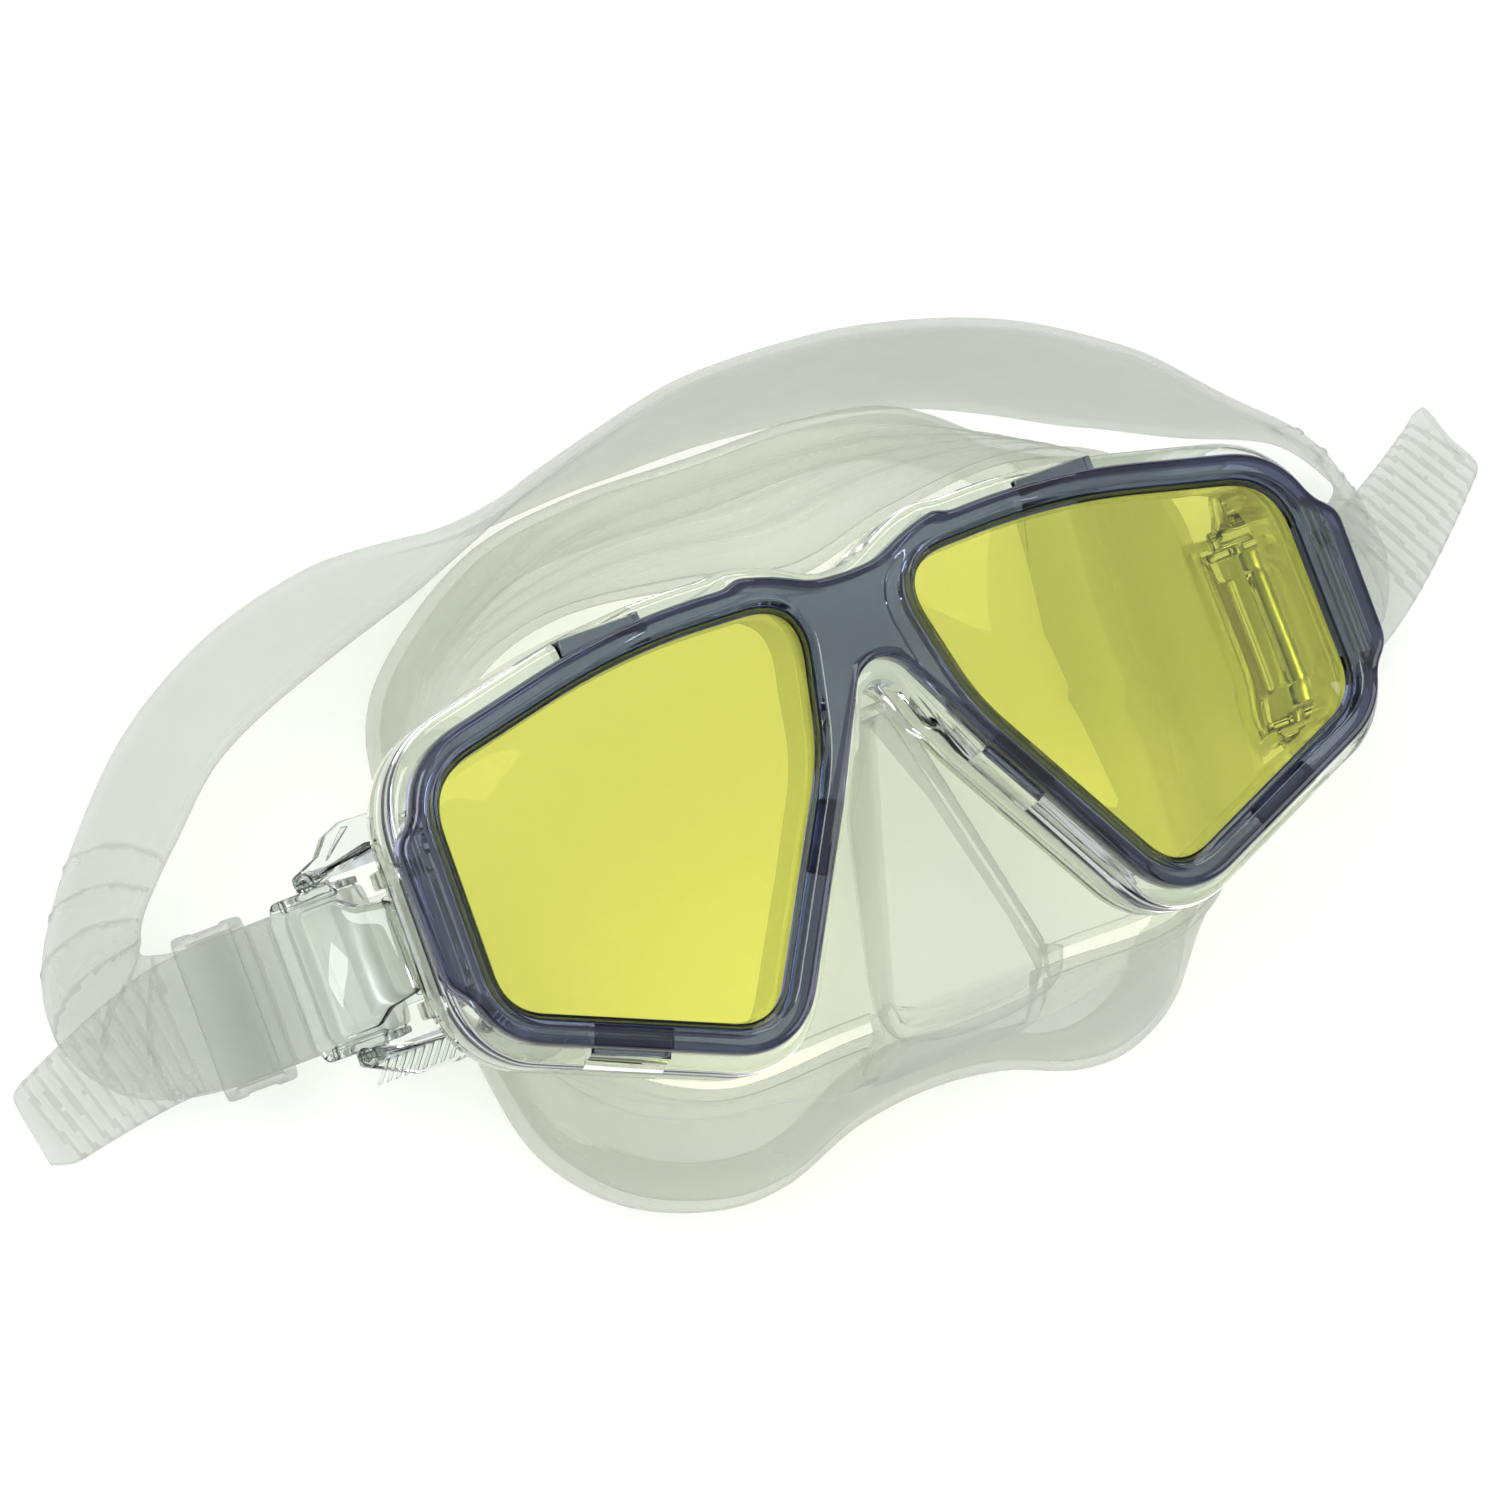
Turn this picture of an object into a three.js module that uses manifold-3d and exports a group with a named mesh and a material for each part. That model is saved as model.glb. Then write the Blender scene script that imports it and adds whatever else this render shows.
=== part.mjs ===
// A two-lens snorkel mask lying on its face seal, with its strap looped round it.
// Millimetres. +X is to the wearer's left eye side, +Y towards the forehead, +Z out through the lenses.
import * as THREE from 'three';
import { mergeVertices } from 'three/addons/utils/BufferGeometryUtils.js';
import { ConvexGeometry } from 'three/addons/geometries/ConvexGeometry.js';
import Module from 'manifold-3d';

const wasm = await Module();
wasm.setup();

// ---- driving dimensions ----------------------------------------------------
const GAP = 0.3;              // clearance between neighbouring solids
const CENTRE = { x: 0.5, y: 6.2 };  // middle of the whole object's box, in mask coordinates

// Sight opening of the lens on the +X side: corner x, corner y, corner radius.
const SIGHT = [
  [9.2, 30.2, 8], [15, 5.7, 40], [37.8, -32.8, 8], [79, -15.6, 9],
  [78.5, 22.5, 11], [40, 31.2, 120],
];
const FRAME_Z = { low: 50, high: 62 };
const BEZEL_Z = { low: 62.3, high: 67 };
const GLASS_Z = { low: 59.8, high: 63.7 };
const FRAME_BAND = 8.2;       // frame ring, outside the sight opening
const BEZEL_BAND = 5.2;       // bezel ring, outside the sight opening
const GLASS_LAP = 2;          // glass hidden under the bezel lip
const SIDE_TAB = { in: 84, out: 87.4, low: -10, high: 17, floor: 56, roof: 66 };
// Snap clips under the bezel: centre x, centre y, length, turn in degrees.
const CLIPS = [[42.2, 35.5, 14.5, 0], [61.1, -27.7, 12.7, 22.3], [17.8, -7.6, 12, -59.4]];
const CLIP_THICK = 1.4;

const SKIRT_WALL = 2.4;
const SKIRT_PLATE = 47.2;     // underside of the skirt's front plate
const SEAL_WIDTH = 9;         // inward turn of the face seal
// Skirt outlines from the forehead to the lip, +X half: front plate, waist and rim.
const SKIRT_TOP = [
  [0, 31], [20, 36], [45, 37.3], [70, 32], [81, 22], [82.2, 5], [81.5, -12], [75, -22], [46, -36],
  [20, -37], [0, -37],
];
const SKIRT_WAIST = [
  [0, 37], [20, 41], [45, 42.5], [62, 36], [71.5, 22], [71.5, 5], [71.5, -12], [66, -27], [46, -41],
  [20, -42], [0, -42],
];
const SKIRT_RIM = [
  [0, 60], [23, 60.5], [40, 58.5], [53, 52], [64, 41], [68, 28], [68.5, 0], [67, -28], [63, -43],
  [54, -54], [40, -60], [29, -60], [14, -55], [0, -53.5],
];
const RIM_RISE = { forehead: 14, lip: 16 };  // the temples touch the ground, the rest stands clear
const WAIST_Z = 44;
const NOSE = [                // half width, y, z of the pocket's corners
  [2.4, 10.5, 61], [3.2, 10.5, 44], [15.6, -39.5, 56], [16.6, -39.5, 44], [13, -43.5, 52],
  [18, -49.5, 34], [18, -46, 24], [14, -20, 40],
];

const HINGE = { x: 79, z: 42.5 };
const PIN_R = 1.2;
const FOLD = { left: 34, right: 78 };  // rest angle of each buckle below the lens plane, degrees
const EAR = { in: 9.5, out: 12.5, r: 3.4 };
const BODY = { half: 13.7, wall: 1.4, neck: 9.2, shoulder: 11, length: 24, floor: -5.6, roof: 6 };
const ROLLER = { u: 13, r: 1.7, half: 12.1 };
const BUTTON = { pivot: 17, side: 14.8 };
const PAWL_U = 20;
const STRAP = { half: 12, thick: 2, tip: 8.2, plate: 23 };
const LAYER = { atBuckle: 3, atKeeper: 1.25 };  // strap layers' distance from their middle
const KEEPER = { half: 14.2, wall: 1.5, length: 10.5 };

// Strap routes out of each buckle, as straight runs and bends: length or radius, and turn in degrees.
// The keeper is centred `keeper` along the route, and the tail drifts sideways by `drift` to its tip.
const ROUTE = {
  left: { side: -1, runs: [[46, 0], [60, 15], [30, 0]], keeper: 36.6, tip: 75, drift: -8 },
  right: { side: 1, runs: [[27, 0], [9, 74], [50, 0]], keeper: 44.2, tip: 91.6, drift: 23 },
};
// Head band from the left buckle to the right one: centre, half width, direction across the strap.
const BAND = [
  [[-123.5, 2.2, 12.8], 12, [0.28, 0.9, 0.3]],
  [[-127, 8.5, 12], 12, [0.6, 0.5, 0.5]],
  [[-126.5, 16, 12.2], 12, [0.58, 0.15, 0.78]],
  [[-121.5, 24, 12.4], 12, [0.5, -0.1, 0.87]],
  [[-113, 33.5, 12.6], 12, [0.42, -0.3, 0.87]],
  [[-102, 44, 13], 12.5, [0.3, -0.4, 0.87]],
  [[-85, 53, 15.5], 15, [0.15, -0.45, 0.88]],
  [[-63, 59.5, 21], 20, [0.05, -0.3, 0.95]],
  [[-38, 63.5, 24.4], STRAP.plate, [0, 0.02, 1]],
  [[-8, 68, 24.2], STRAP.plate, [0, 0.15, 0.98]],
  [[22, 67.4, 24.2], STRAP.plate, [0.03, 0.15, 0.98]],
  [[49, 61.6, 24], 22.5, [0.06, 0.1, 0.98]],
  [[76, 49.5, 19.5], 17.5, [0.1, 0.12, 0.98]],
  [[95, 39, 14.4], 13, [0.05, 0, 0.98]],
  [[111, 30, 13], 12, [-0.3, -0.1, 0.9]],
  [[118, 18, 12], 12, [-0.5, 0.15, 0.8]],
  [[118, 9, 9.6], 12, [-0.5, 0.6, 0.5]],
  [[112.5, 2, 7], 12, [-0.12, 0.98, 0.08]],
];
const BAND_END = { left: 2, right: 15 };   // stations where the head band meets the two strap ends
const JOIN_STEP = 0.22;       // clearance between the band and the strap ends, in stations

const COLOURS = {
  clear: 0xe6ecec, smoke: 0x5a6487, yellow: 0xd7d75a, silicone: 0xd7ded7, steel: 0x9aa0a5,
};

// ---- geometry helpers ------------------------------------------------------
const rad = THREE.MathUtils.degToRad;
const vec = (x, y, z) => new THREE.Vector3(x, y, z);
const mirrored = (points) => points.map(([x, y, r]) => [-x, y, r]).reverse();

function solid(geometry) {
  const bare = new THREE.BufferGeometry();
  bare.setAttribute('position', geometry.getAttribute('position'));
  bare.setIndex(geometry.getIndex());
  const merged = mergeVertices(bare, 1e-4);
  return new wasm.Manifold(new wasm.Mesh({
    numProp: 3,
    vertProperties: new Float32Array(merged.getAttribute('position').array),
    triVerts: new Uint32Array(merged.getIndex().array),
  }));
}

function toGeometry(manifold) {
  const mesh = manifold.getMesh();
  const geometry = new THREE.BufferGeometry();
  geometry.setAttribute('position', new THREE.BufferAttribute(mesh.vertProperties, 3));
  geometry.setIndex(new THREE.BufferAttribute(mesh.triVerts, 1));
  geometry.computeVertexNormals();
  return geometry;
}

const join = (...pieces) => pieces.reduce((sum, piece) => sum.add(piece));
const cut = (base, ...tools) => tools.reduce((rest, tool) => rest.subtract(tool), base);

// Moves every straight side of a cornered outline outwards by `distance`.
function grow(corners, distance) {
  const count = corners.length;
  const side = (i) => {
    const [ax, ay] = corners[i];
    const [bx, by] = corners[(i + 1) % count];
    const length = Math.hypot(bx - ax, by - ay);
    const nx = (by - ay) / length;
    const ny = (ax - bx) / length;
    return { nx, ny, level: nx * ax + ny * ay + distance };
  };
  return corners.map(([, , radius], i) => {
    const p = side((i + count - 1) % count);
    const q = side(i);
    const det = p.nx * q.ny - p.ny * q.nx;
    const x = (p.level * q.ny - q.level * p.ny) / det;
    const y = (p.nx * q.level - q.nx * p.level) / det;
    return [x, y, Math.max(0.5, radius + distance)];
  });
}

// Counter-clockwise outline through cornered points, each corner rounded to its radius.
function rounded(corners, step = 18) {
  const shape = [];
  corners.forEach(([x, y, radius], i) => {
    const [px, py] = corners[(i + corners.length - 1) % corners.length];
    const [qx, qy] = corners[(i + 1) % corners.length];
    const a = new THREE.Vector2(px - x, py - y);
    const b = new THREE.Vector2(qx - x, qy - y);
    const turn = Math.PI - Math.abs(a.angleTo(b));
    const reach = Math.min(radius * Math.tan(turn / 2), a.length() * 0.48, b.length() * 0.48);
    a.setLength(reach);
    b.setLength(reach);
    const steps = Math.max(2, Math.ceil(THREE.MathUtils.radToDeg(turn) / step));
    for (let k = 0; k <= steps; k += 1) {
      const t = k / steps;
      const wa = (1 - t) * (1 - t);
      const wb = t * t;
      shape.push(new THREE.Vector2(x + a.x * wa + b.x * wb, y + a.y * wa + b.y * wb));
    }
  });
  return shape;
}

function prism(outline, low, high) {
  const shape = new THREE.Shape(outline);
  const geometry = new THREE.ExtrudeGeometry(shape, { depth: high - low, bevelEnabled: false });
  return solid(geometry.translate(0, 0, low));
}

function block(x0, x1, y0, y1, z0, z1) {
  const geometry = new THREE.BoxGeometry(x1 - x0, y1 - y0, z1 - z0);
  return solid(geometry.translate((x0 + x1) / 2, (y0 + y1) / 2, (z0 + z1) / 2));
}

// Round bar along Y.
function bar(radius, y0, y1, x = 0, z = 0, sides = 16) {
  const geometry = new THREE.CylinderGeometry(radius, radius, y1 - y0, sides);
  return solid(geometry.translate(x, (y0 + y1) / 2, z));
}

// Closed body through rings of equal point count, capped by fans at both ends.
function loft(rings) {
  const count = rings[0].length;
  const positions = [];
  const index = [];
  rings.forEach((ring) => ring.forEach((p) => positions.push(p.x, p.y, p.z)));
  for (let r = 0; r + 1 < rings.length; r += 1) {
    for (let k = 0; k < count; k += 1) {
      const a = r * count + k;
      const b = r * count + ((k + 1) % count);
      index.push(a, b, b + count, a, b + count, a + count);
    }
  }
  [[0, -1], [rings.length - 1, 1]].forEach(([r, sign]) => {
    const centre = rings[r].reduce((sum, p) => sum.add(p), vec(0, 0, 0)).divideScalar(count);
    const hub = positions.length / 3;
    positions.push(centre.x, centre.y, centre.z);
    for (let k = 0; k < count; k += 1) {
      const a = r * count + k;
      const b = r * count + ((k + 1) % count);
      if (sign > 0) index.push(a, b, hub);
      else index.push(b, a, hub);
    }
  });
  const geometry = new THREE.BufferGeometry();
  geometry.setAttribute('position', new THREE.Float32BufferAttribute(positions, 3));
  geometry.setIndex(index);
  return geometry;
}

// ---- frame, bezel and lenses -----------------------------------------------
// Outline of the bridge: a dipped top edge and an arch over the nose.
function bridge(top, arch, archHalf, drop) {
  const points = [];
  for (let x = -18; x <= 18; x += 3) {
    points.push(new THREE.Vector2(x, top + 3.6 * (x / 18) ** 2));
  }
  points.push(new THREE.Vector2(18, arch - drop));
  for (let k = 4; k >= -4; k -= 1) {
    const x = (archHalf * k) / 4;
    points.push(new THREE.Vector2(x, arch - drop * (k / 4) ** 2));
  }
  points.push(new THREE.Vector2(-18, arch - drop));
  return points.reverse();
}

function bothSides(distance, low, high) {
  const right = grow(SIGHT, distance);
  return join(prism(rounded(right), low, high), prism(rounded(mirrored(right)), low, high));
}

function clip(side, [x, y, length, turn], clearance, low, high) {
  const geometry = new THREE.BoxGeometry(length + 2 * clearance, CLIP_THICK + 2 * clearance, high - low);
  geometry.rotateZ(rad(turn)).translate(x, y, (low + high) / 2);
  if (side < 0) geometry.rotateY(Math.PI).translate(0, 0, low + high);
  return solid(geometry);
}

function sideTab(side, clearance, low, high, inner) {
  const x0 = side * inner;
  const x1 = side * (SIDE_TAB.out + 3 * clearance);
  return block(Math.min(x0, x1), Math.max(x0, x1), SIDE_TAB.low - clearance, SIDE_TAB.high + clearance,
    low, high);
}

// Hinge ear under the frame: an L-shaped plate round the pin.
function ear(side, sign) {
  const outline = [[84, 50.5], [87.2, 50.5], [87.2, 45], [84, HINGE.z - EAR.r], [HINGE.x, HINGE.z - EAR.r],
    [HINGE.x - EAR.r, HINGE.z], [HINGE.x - 1.6, HINGE.z + 2.8], [HINGE.x + 2, HINGE.z + EAR.r], [83, 47]];
  const shape = new THREE.Shape(outline.map(([x, z]) => new THREE.Vector2(side * x, z)));
  const geometry = new THREE.ExtrudeGeometry(shape, { depth: EAR.out - EAR.in, bevelEnabled: false });
  geometry.rotateX(Math.PI / 2).translate(0, sign > 0 ? EAR.out : -EAR.in, 0);
  return solid(geometry);
}

function mainFrame() {
  const { low, high } = FRAME_Z;
  let frame = join(bothSides(FRAME_BAND, low, high), prism(bridge(33.4, 13.5, 6.5, 8), low, high));
  frame = cut(frame, bothSides(GLASS_LAP + GAP, low - 1, high + 1));
  for (const side of [-1, 1]) {
    frame = join(frame, ear(side, 1), ear(side, -1));
    frame = cut(frame, bar(PIN_R + GAP, -20, 20, side * HINGE.x, HINGE.z));
    frame = cut(frame, sideTab(side, GAP, SIDE_TAB.floor - GAP, high + 1, SIDE_TAB.in - GAP));
    for (const place of CLIPS) frame = cut(frame, clip(side, place, GAP, low - 1, high + 1));
  }
  return toGeometry(frame);
}

function frontBezel() {
  const { low, high } = BEZEL_Z;
  let bezel = join(bothSides(BEZEL_BAND, low, high), prism(bridge(32, 17, 8.6, 8), low, high));
  const rebate = bothSides(GLASS_LAP + GAP, low - 1, GLASS_Z.high + GAP);
  bezel = cut(bezel, bothSides(0, low - 1, high + 1), rebate);
  for (const side of [-1, 1]) {
    bezel = join(bezel, sideTab(side, 0, low, SIDE_TAB.roof, 82));
    bezel = join(bezel, sideTab(side, 0, SIDE_TAB.floor, SIDE_TAB.roof, SIDE_TAB.in));
    for (const place of CLIPS) bezel = join(bezel, clip(side, place, 0, FRAME_Z.low + 3, low + 1));
  }
  return toGeometry(bezel);
}

function lens(side) {
  const corners = grow(SIGHT, GLASS_LAP);
  return toGeometry(prism(rounded(side > 0 ? corners : mirrored(corners)), GLASS_Z.low, GLASS_Z.high));
}

// ---- skirt -----------------------------------------------------------------
const SKIRT_STEPS = 72;

// Closed smooth outline through the half outline, as radii about the mask's middle.
function radii(half) {
  const other = half.slice(1, -1).map(([x, y]) => [-x, y]).reverse();
  const points = [...half, ...other].map(([x, y]) => vec(x, y, 0));
  const curve = new THREE.CatmullRomCurve3(points, true, 'centripetal').getPoints(360);
  return (angle) => {
    let best = 0;
    for (let i = 0; i + 1 < curve.length; i += 1) {
      const a = curve[i];
      const b = curve[i + 1];
      const ca = Math.cos(angle);
      const sa = Math.sin(angle);
      const da = a.y * ca - a.x * sa;
      const db = b.y * ca - b.x * sa;
      if (da * db > 0 || da === db) continue;
      const t = da / (da - db);
      const reach = (a.x + (b.x - a.x) * t) * ca + (a.y + (b.y - a.y) * t) * sa;
      best = Math.max(best, reach);
    }
    return best;
  };
}

const topRadius = radii(SKIRT_TOP);
const waistRadius = radii(SKIRT_WAIST);
const rimRadius = radii(SKIRT_RIM);

// Height of the face seal's edge: down at the temples, raised over the forehead and the lip.
function rimHeight(angle) {
  const lift = Math.max(0, Math.abs(Math.sin(angle)) - 0.45) / 0.55;
  const rise = Math.sin(angle) > 0 ? RIM_RISE.forehead : RIM_RISE.lip;
  return rise * lift * lift * (3 - 2 * lift);
}

function skirtRing(radius, height) {
  const ring = [];
  for (let k = 0; k < SKIRT_STEPS; k += 1) {
    const angle = (2 * Math.PI * k) / SKIRT_STEPS;
    const r = radius(angle);
    ring.push(vec(r * Math.cos(angle), r * Math.sin(angle), height(angle)));
  }
  return ring;
}

function skirtBody(inset) {
  const middle = (angle) => 0.45 * waistRadius(angle) + 0.55 * rimRadius(angle) + 1.2;
  const less = (radius, d) => (angle) => radius(angle) - d;
  const level = (z) => () => z;
  const halfway = (angle) => (WAIST_Z + rimHeight(angle)) / 2 - 2;
  const rings = inset ? [
    skirtRing(less(rimRadius, SEAL_WIDTH), level(-10)),
    skirtRing(less(rimRadius, SEAL_WIDTH), (angle) => rimHeight(angle) + 2.6),
    skirtRing(less(rimRadius, inset), (angle) => rimHeight(angle) + 4.5),
    skirtRing(less(middle, inset), halfway),
    skirtRing(less(waistRadius, inset), level(WAIST_Z)),
    skirtRing(less(waistRadius, inset), level(SKIRT_PLATE)),
  ] : [
    skirtRing(less(rimRadius, 2), rimHeight),
    skirtRing(rimRadius, (angle) => rimHeight(angle) + 2),
    skirtRing(middle, halfway),
    skirtRing(waistRadius, level(WAIST_Z)),
    skirtRing(waistRadius, level(SKIRT_PLATE - 0.4)),
    skirtRing(topRadius, level(SKIRT_PLATE)),
    skirtRing(topRadius, level(FRAME_Z.low - GAP)),
  ];
  return solid(loft(rings));
}

function nosePocket(inset) {
  const points = [];
  for (const [half, y, z] of NOSE) {
    const top = z - inset;
    points.push(vec(half - inset * 0.8, y > 0 ? y - inset : y + inset * 0.4, top));
    points.push(vec(-half + inset * 0.8, y > 0 ? y - inset : y + inset * 0.4, top));
  }
  if (inset) points.push(vec(10, -36, 20), vec(-10, -36, 20), vec(8, -10, 36), vec(-8, -10, 36));
  return solid(new ConvexGeometry(points));
}

function skirt() {
  const low = SKIRT_PLATE + 0.5;
  const shell = join(skirtBody(0), bothSides(GLASS_LAP, low, GLASS_Z.low - GAP), nosePocket(0));
  const eyes = bothSides(-0.5, WAIST_Z - 6, GLASS_Z.low + 1);
  return toGeometry(cut(shell, skirtBody(SKIRT_WALL), eyes, nosePocket(1.8)));
}

// ---- strap -----------------------------------------------------------------
// Plane route of the doubled strap outwards from the hinge: place, heading and normal at each length.
function routeAt(name, length) {
  const { side, runs } = ROUTE[name];
  let a = HINGE.x;
  let z = HINGE.z;
  let heading = -rad(FOLD[name]);
  let left = length;
  for (const [size, turn] of runs) {
    const full = turn ? size * rad(turn) : size;
    const part = Math.min(left, full);
    if (turn) {
      const after = heading + part / size;
      a += size * (Math.sin(after) - Math.sin(heading));
      z += size * (Math.cos(heading) - Math.cos(after));
      heading = after;
    } else {
      a += part * Math.cos(heading);
      z += part * Math.sin(heading);
    }
    left -= part;
  }
  const normal = vec(-side * Math.sin(heading), 0, Math.cos(heading));
  return { point: vec(side * a, 0, z), along: vec(side * Math.cos(heading), 0, Math.sin(heading)), normal };
}

function layerGap(length) {
  const t = THREE.MathUtils.smoothstep(length, BODY.length, BODY.length + 7);
  return THREE.MathUtils.lerp(LAYER.atBuckle, LAYER.atKeeper, t);
}

// Sideways place of the tail and the strap, which lean towards the forehead past the keeper.
function drift(name, length) {
  const { tip, drift: most, keeper } = ROUTE[name];
  const start = keeper + KEEPER.length / 2 + 4;
  const t = THREE.MathUtils.clamp((length - start) / (tip - start), 0, 1);
  return most * t ** 1.3;
}

function station(name, length, offset, half) {
  const { point, normal, along } = routeAt(name, length);
  const place = point.clone().addScaledVector(normal, offset);
  place.y += drift(name, length);
  const slope = drift(name, length + 0.5) - drift(name, length - 0.5);
  return { centre: place, half, across: vec(0, 1, 0).addScaledVector(along, -slope) };
}

// Strap body through stations: a flat four-cornered section, `across` from its lower to its upper edge.
function strapSweep(stations, thick) {
  const rings = stations.map(({ centre, half, across }, i) => {
    const before = stations[Math.max(0, i - 1)].centre;
    const after = stations[Math.min(stations.length - 1, i + 1)].centre;
    const wide = across.clone().normalize();
    const face = after.clone().sub(before).cross(wide).normalize();
    const corner = (w, f) => centre.clone().addScaledVector(wide, w * half)
      .addScaledVector(face, (f * thick) / 2);
    return [corner(-1, -1), corner(1, -1), corner(1, 1), corner(-1, 1)];
  });
  return solid(loft(rings));
}

function bandStations(from, to) {
  const curve = new THREE.CatmullRomCurve3(BAND.map(([p]) => vec(...p)), false, 'centripetal');
  const steps = Math.round((to - from) * 4);
  const list = [];
  for (let k = 0; k <= steps; k += 1) {
    const t = from + ((to - from) * k) / steps;
    const i = Math.min(BAND.length - 2, Math.floor(t));
    const f = t - i;
    const [, halfA, acrossA] = BAND[i];
    const [, halfB, acrossB] = BAND[i + 1];
    const centre = curve.getPoint(t / (BAND.length - 1));
    const across = vec(...acrossA).lerp(vec(...acrossB), f);
    list.push({ centre, half: THREE.MathUtils.lerp(halfA, halfB, f), across });
  }
  return list;
}

function strapBand() {
  const stations = bandStations(BAND_END.left + JOIN_STEP, BAND_END.right - JOIN_STEP);
  return toGeometry(strapSweep(stations, STRAP.thick));
}

// Strap end: tail from its tip, round the roller, and back along the lower layer to the head band.
function strapEnd(name) {
  const { tip, keeper } = ROUTE[name];
  const list = [];
  const taper = [[0, STRAP.tip - 1.6], [1.6, STRAP.tip], [10, 10.2], [18, STRAP.half]];
  taper.forEach(([back, half]) => list.push(station(name, tip - back, layerGap(tip - back), half)));
  for (let s = tip - 22; s > BODY.length + 9; s -= 4) list.push(station(name, s, layerGap(s), STRAP.half));
  for (const s of [BODY.length + 7, BODY.length + 3.5, BODY.length, ROLLER.u]) {
    list.push(station(name, s, layerGap(s), STRAP.half));
  }
  for (let k = 1; k < 6; k += 1) {
    const angle = (Math.PI * k) / 6;
    const offset = LAYER.atBuckle * Math.cos(angle);
    list.push(station(name, ROLLER.u - LAYER.atBuckle * Math.sin(angle), offset, STRAP.half));
  }
  for (const s of [ROLLER.u, BODY.length, BODY.length + 3.5, BODY.length + 7]) {
    list.push(station(name, s, -layerGap(s), STRAP.half));
  }
  for (let s = BODY.length + 10; s <= keeper + 9; s += 2) {
    list.push(station(name, s, -layerGap(s), STRAP.half));
  }
  if (name === 'left') list.push(...bandStations(0, BAND_END.left));
  else list.push(...bandStations(BAND_END.right, BAND.length - 1).reverse());
  return toGeometry(strapSweep(list, STRAP.thick));
}

function strapKeeper(name) {
  const { point, normal, along } = routeAt(name, ROUTE[name].keeper);
  const innerHalf = STRAP.half + 0.5;
  const innerTall = LAYER.atKeeper + STRAP.thick / 2 + 0.4;
  const outer = solid(new THREE.BoxGeometry(KEEPER.length, 2 * KEEPER.half, 2 * (innerTall + KEEPER.wall)));
  const inner = solid(new THREE.BoxGeometry(KEEPER.length + 2, 2 * innerHalf, 2 * innerTall));
  const geometry = toGeometry(cut(outer, inner));
  const turn = new THREE.Matrix4().makeBasis(along, normal.clone().cross(along), normal);
  geometry.applyMatrix4(turn).translate(point.x, point.y + drift(name, ROUTE[name].keeper), point.z);
  return geometry;
}

// ---- buckle, in its own frame: x out along the strap, y across it, z its outer face ----
function buckleBody() {
  const { half, wall, neck, shoulder, length, floor, roof } = BODY;
  const plate = join(block(3, length, -neck, neck, floor, floor + 1.3),
    block(shoulder, length, -half, half, floor, floor + 1.3));
  const walls = [-1, 1].map((s) => block(shoulder, length, Math.min(s * half, s * (half - wall)),
    Math.max(s * half, s * (half - wall)), floor, roof - 1.6));
  const chamfered = [[length - 2.6, -half], [length - 0.8, -half], [length, -half + 3], [length, half - 3],
    [length - 0.8, half], [length - 2.6, half]].map(([x, y]) => new THREE.Vector2(x, y));
  const frontBar = prism(chamfered, roof - 1.7, roof);
  const knuckle = join(bar(2.9, -neck, neck), block(0, 4, -neck, neck, floor + 0.3, -1.8));
  const bores = [bar(PIN_R + GAP, -20, 20), bar(0.9 + GAP, -20, 20, ROLLER.u), bar(0.7 + GAP, -20, 20, PAWL_U)];
  const buttonPivots = [-1, 1].map((s) => solid(new THREE.CylinderGeometry(0.8, 0.8, 7, 12)
    .rotateX(Math.PI / 2).translate(BUTTON.pivot, s * BUTTON.side, -0.6)));
  const shelves = [-1, 1].map((s) => block(BUTTON.pivot - 1.4, BUTTON.pivot + 1.4, Math.min(s * 13, s * 15.8),
    Math.max(s * 13, s * 15.8), floor, -3.8));
  return toGeometry(cut(join(plate, ...walls, frontBar, knuckle, ...shelves, ...buttonPivots), ...bores));
}

function buckleCover() {
  const rings = [];
  for (let k = 0; k <= 6; k += 1) {
    const u = 3.6 + (15.4 * k) / 6;
    const crown = 6.1 + 0.8 * Math.sin((Math.PI * k) / 6);
    const half = u < BODY.shoulder ? 8.8 : 10.6;
    rings.push([vec(u, half, 4.5), vec(u, half, crown), vec(u, -half, crown), vec(u, -half, 4.5)]);
  }
  return loft(rings);
}

function strapRoller() {
  return toGeometry(join(bar(ROLLER.r, -ROLLER.half, ROLLER.half, 0, 0, 14), bar(0.9, -13.6, 13.6, 0, 0, 12)));
}

function strapPawl() {
  const tooth = [[-2.4, -0.9], [2.2, -0.9], [2.2, 0.4], [0.6, 1.5], [-0.2, 0.7], [-2.4, 0.5]];
  const shape = new THREE.Shape(tooth.map(([x, z]) => new THREE.Vector2(x, z)));
  const geometry = new THREE.ExtrudeGeometry(shape, { depth: 23.6, bevelEnabled: false });
  geometry.rotateX(Math.PI / 2).translate(0, 11.8, 0);
  return toGeometry(join(solid(geometry), bar(0.7, -13.6, 13.6, 0, 0, 12)));
}

// Squeeze button about its pivot, on the +y or -y edge: an arm and a ribbed pad beside the hinge.
function squeezeButton(edge) {
  const outline = [[1.9, -0.6], [1.9, 1.2], [-5, 3.2], [-8, 4], [-17.5, 4], [-19, 2.6], [-19, 0.7],
    [-7, 0.3], [-1.9, -0.8]];
  const plan = prism(outline.map(([x, y]) => new THREE.Vector2(x, edge * y)), -3.4, 3.8);
  const ribs = [];
  for (let k = 0; k < 5; k += 1) {
    const near = edge > 0 ? 3.6 : -4.5;
    ribs.push(block(-17 + 2 * k, -16 + 2 * k, near, near + 0.9, -2.6, 3.2));
  }
  const bore = solid(new THREE.CylinderGeometry(1.1, 1.1, 12, 12).rotateX(Math.PI / 2));
  return toGeometry(cut(join(plan, ...ribs), bore));
}

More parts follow.
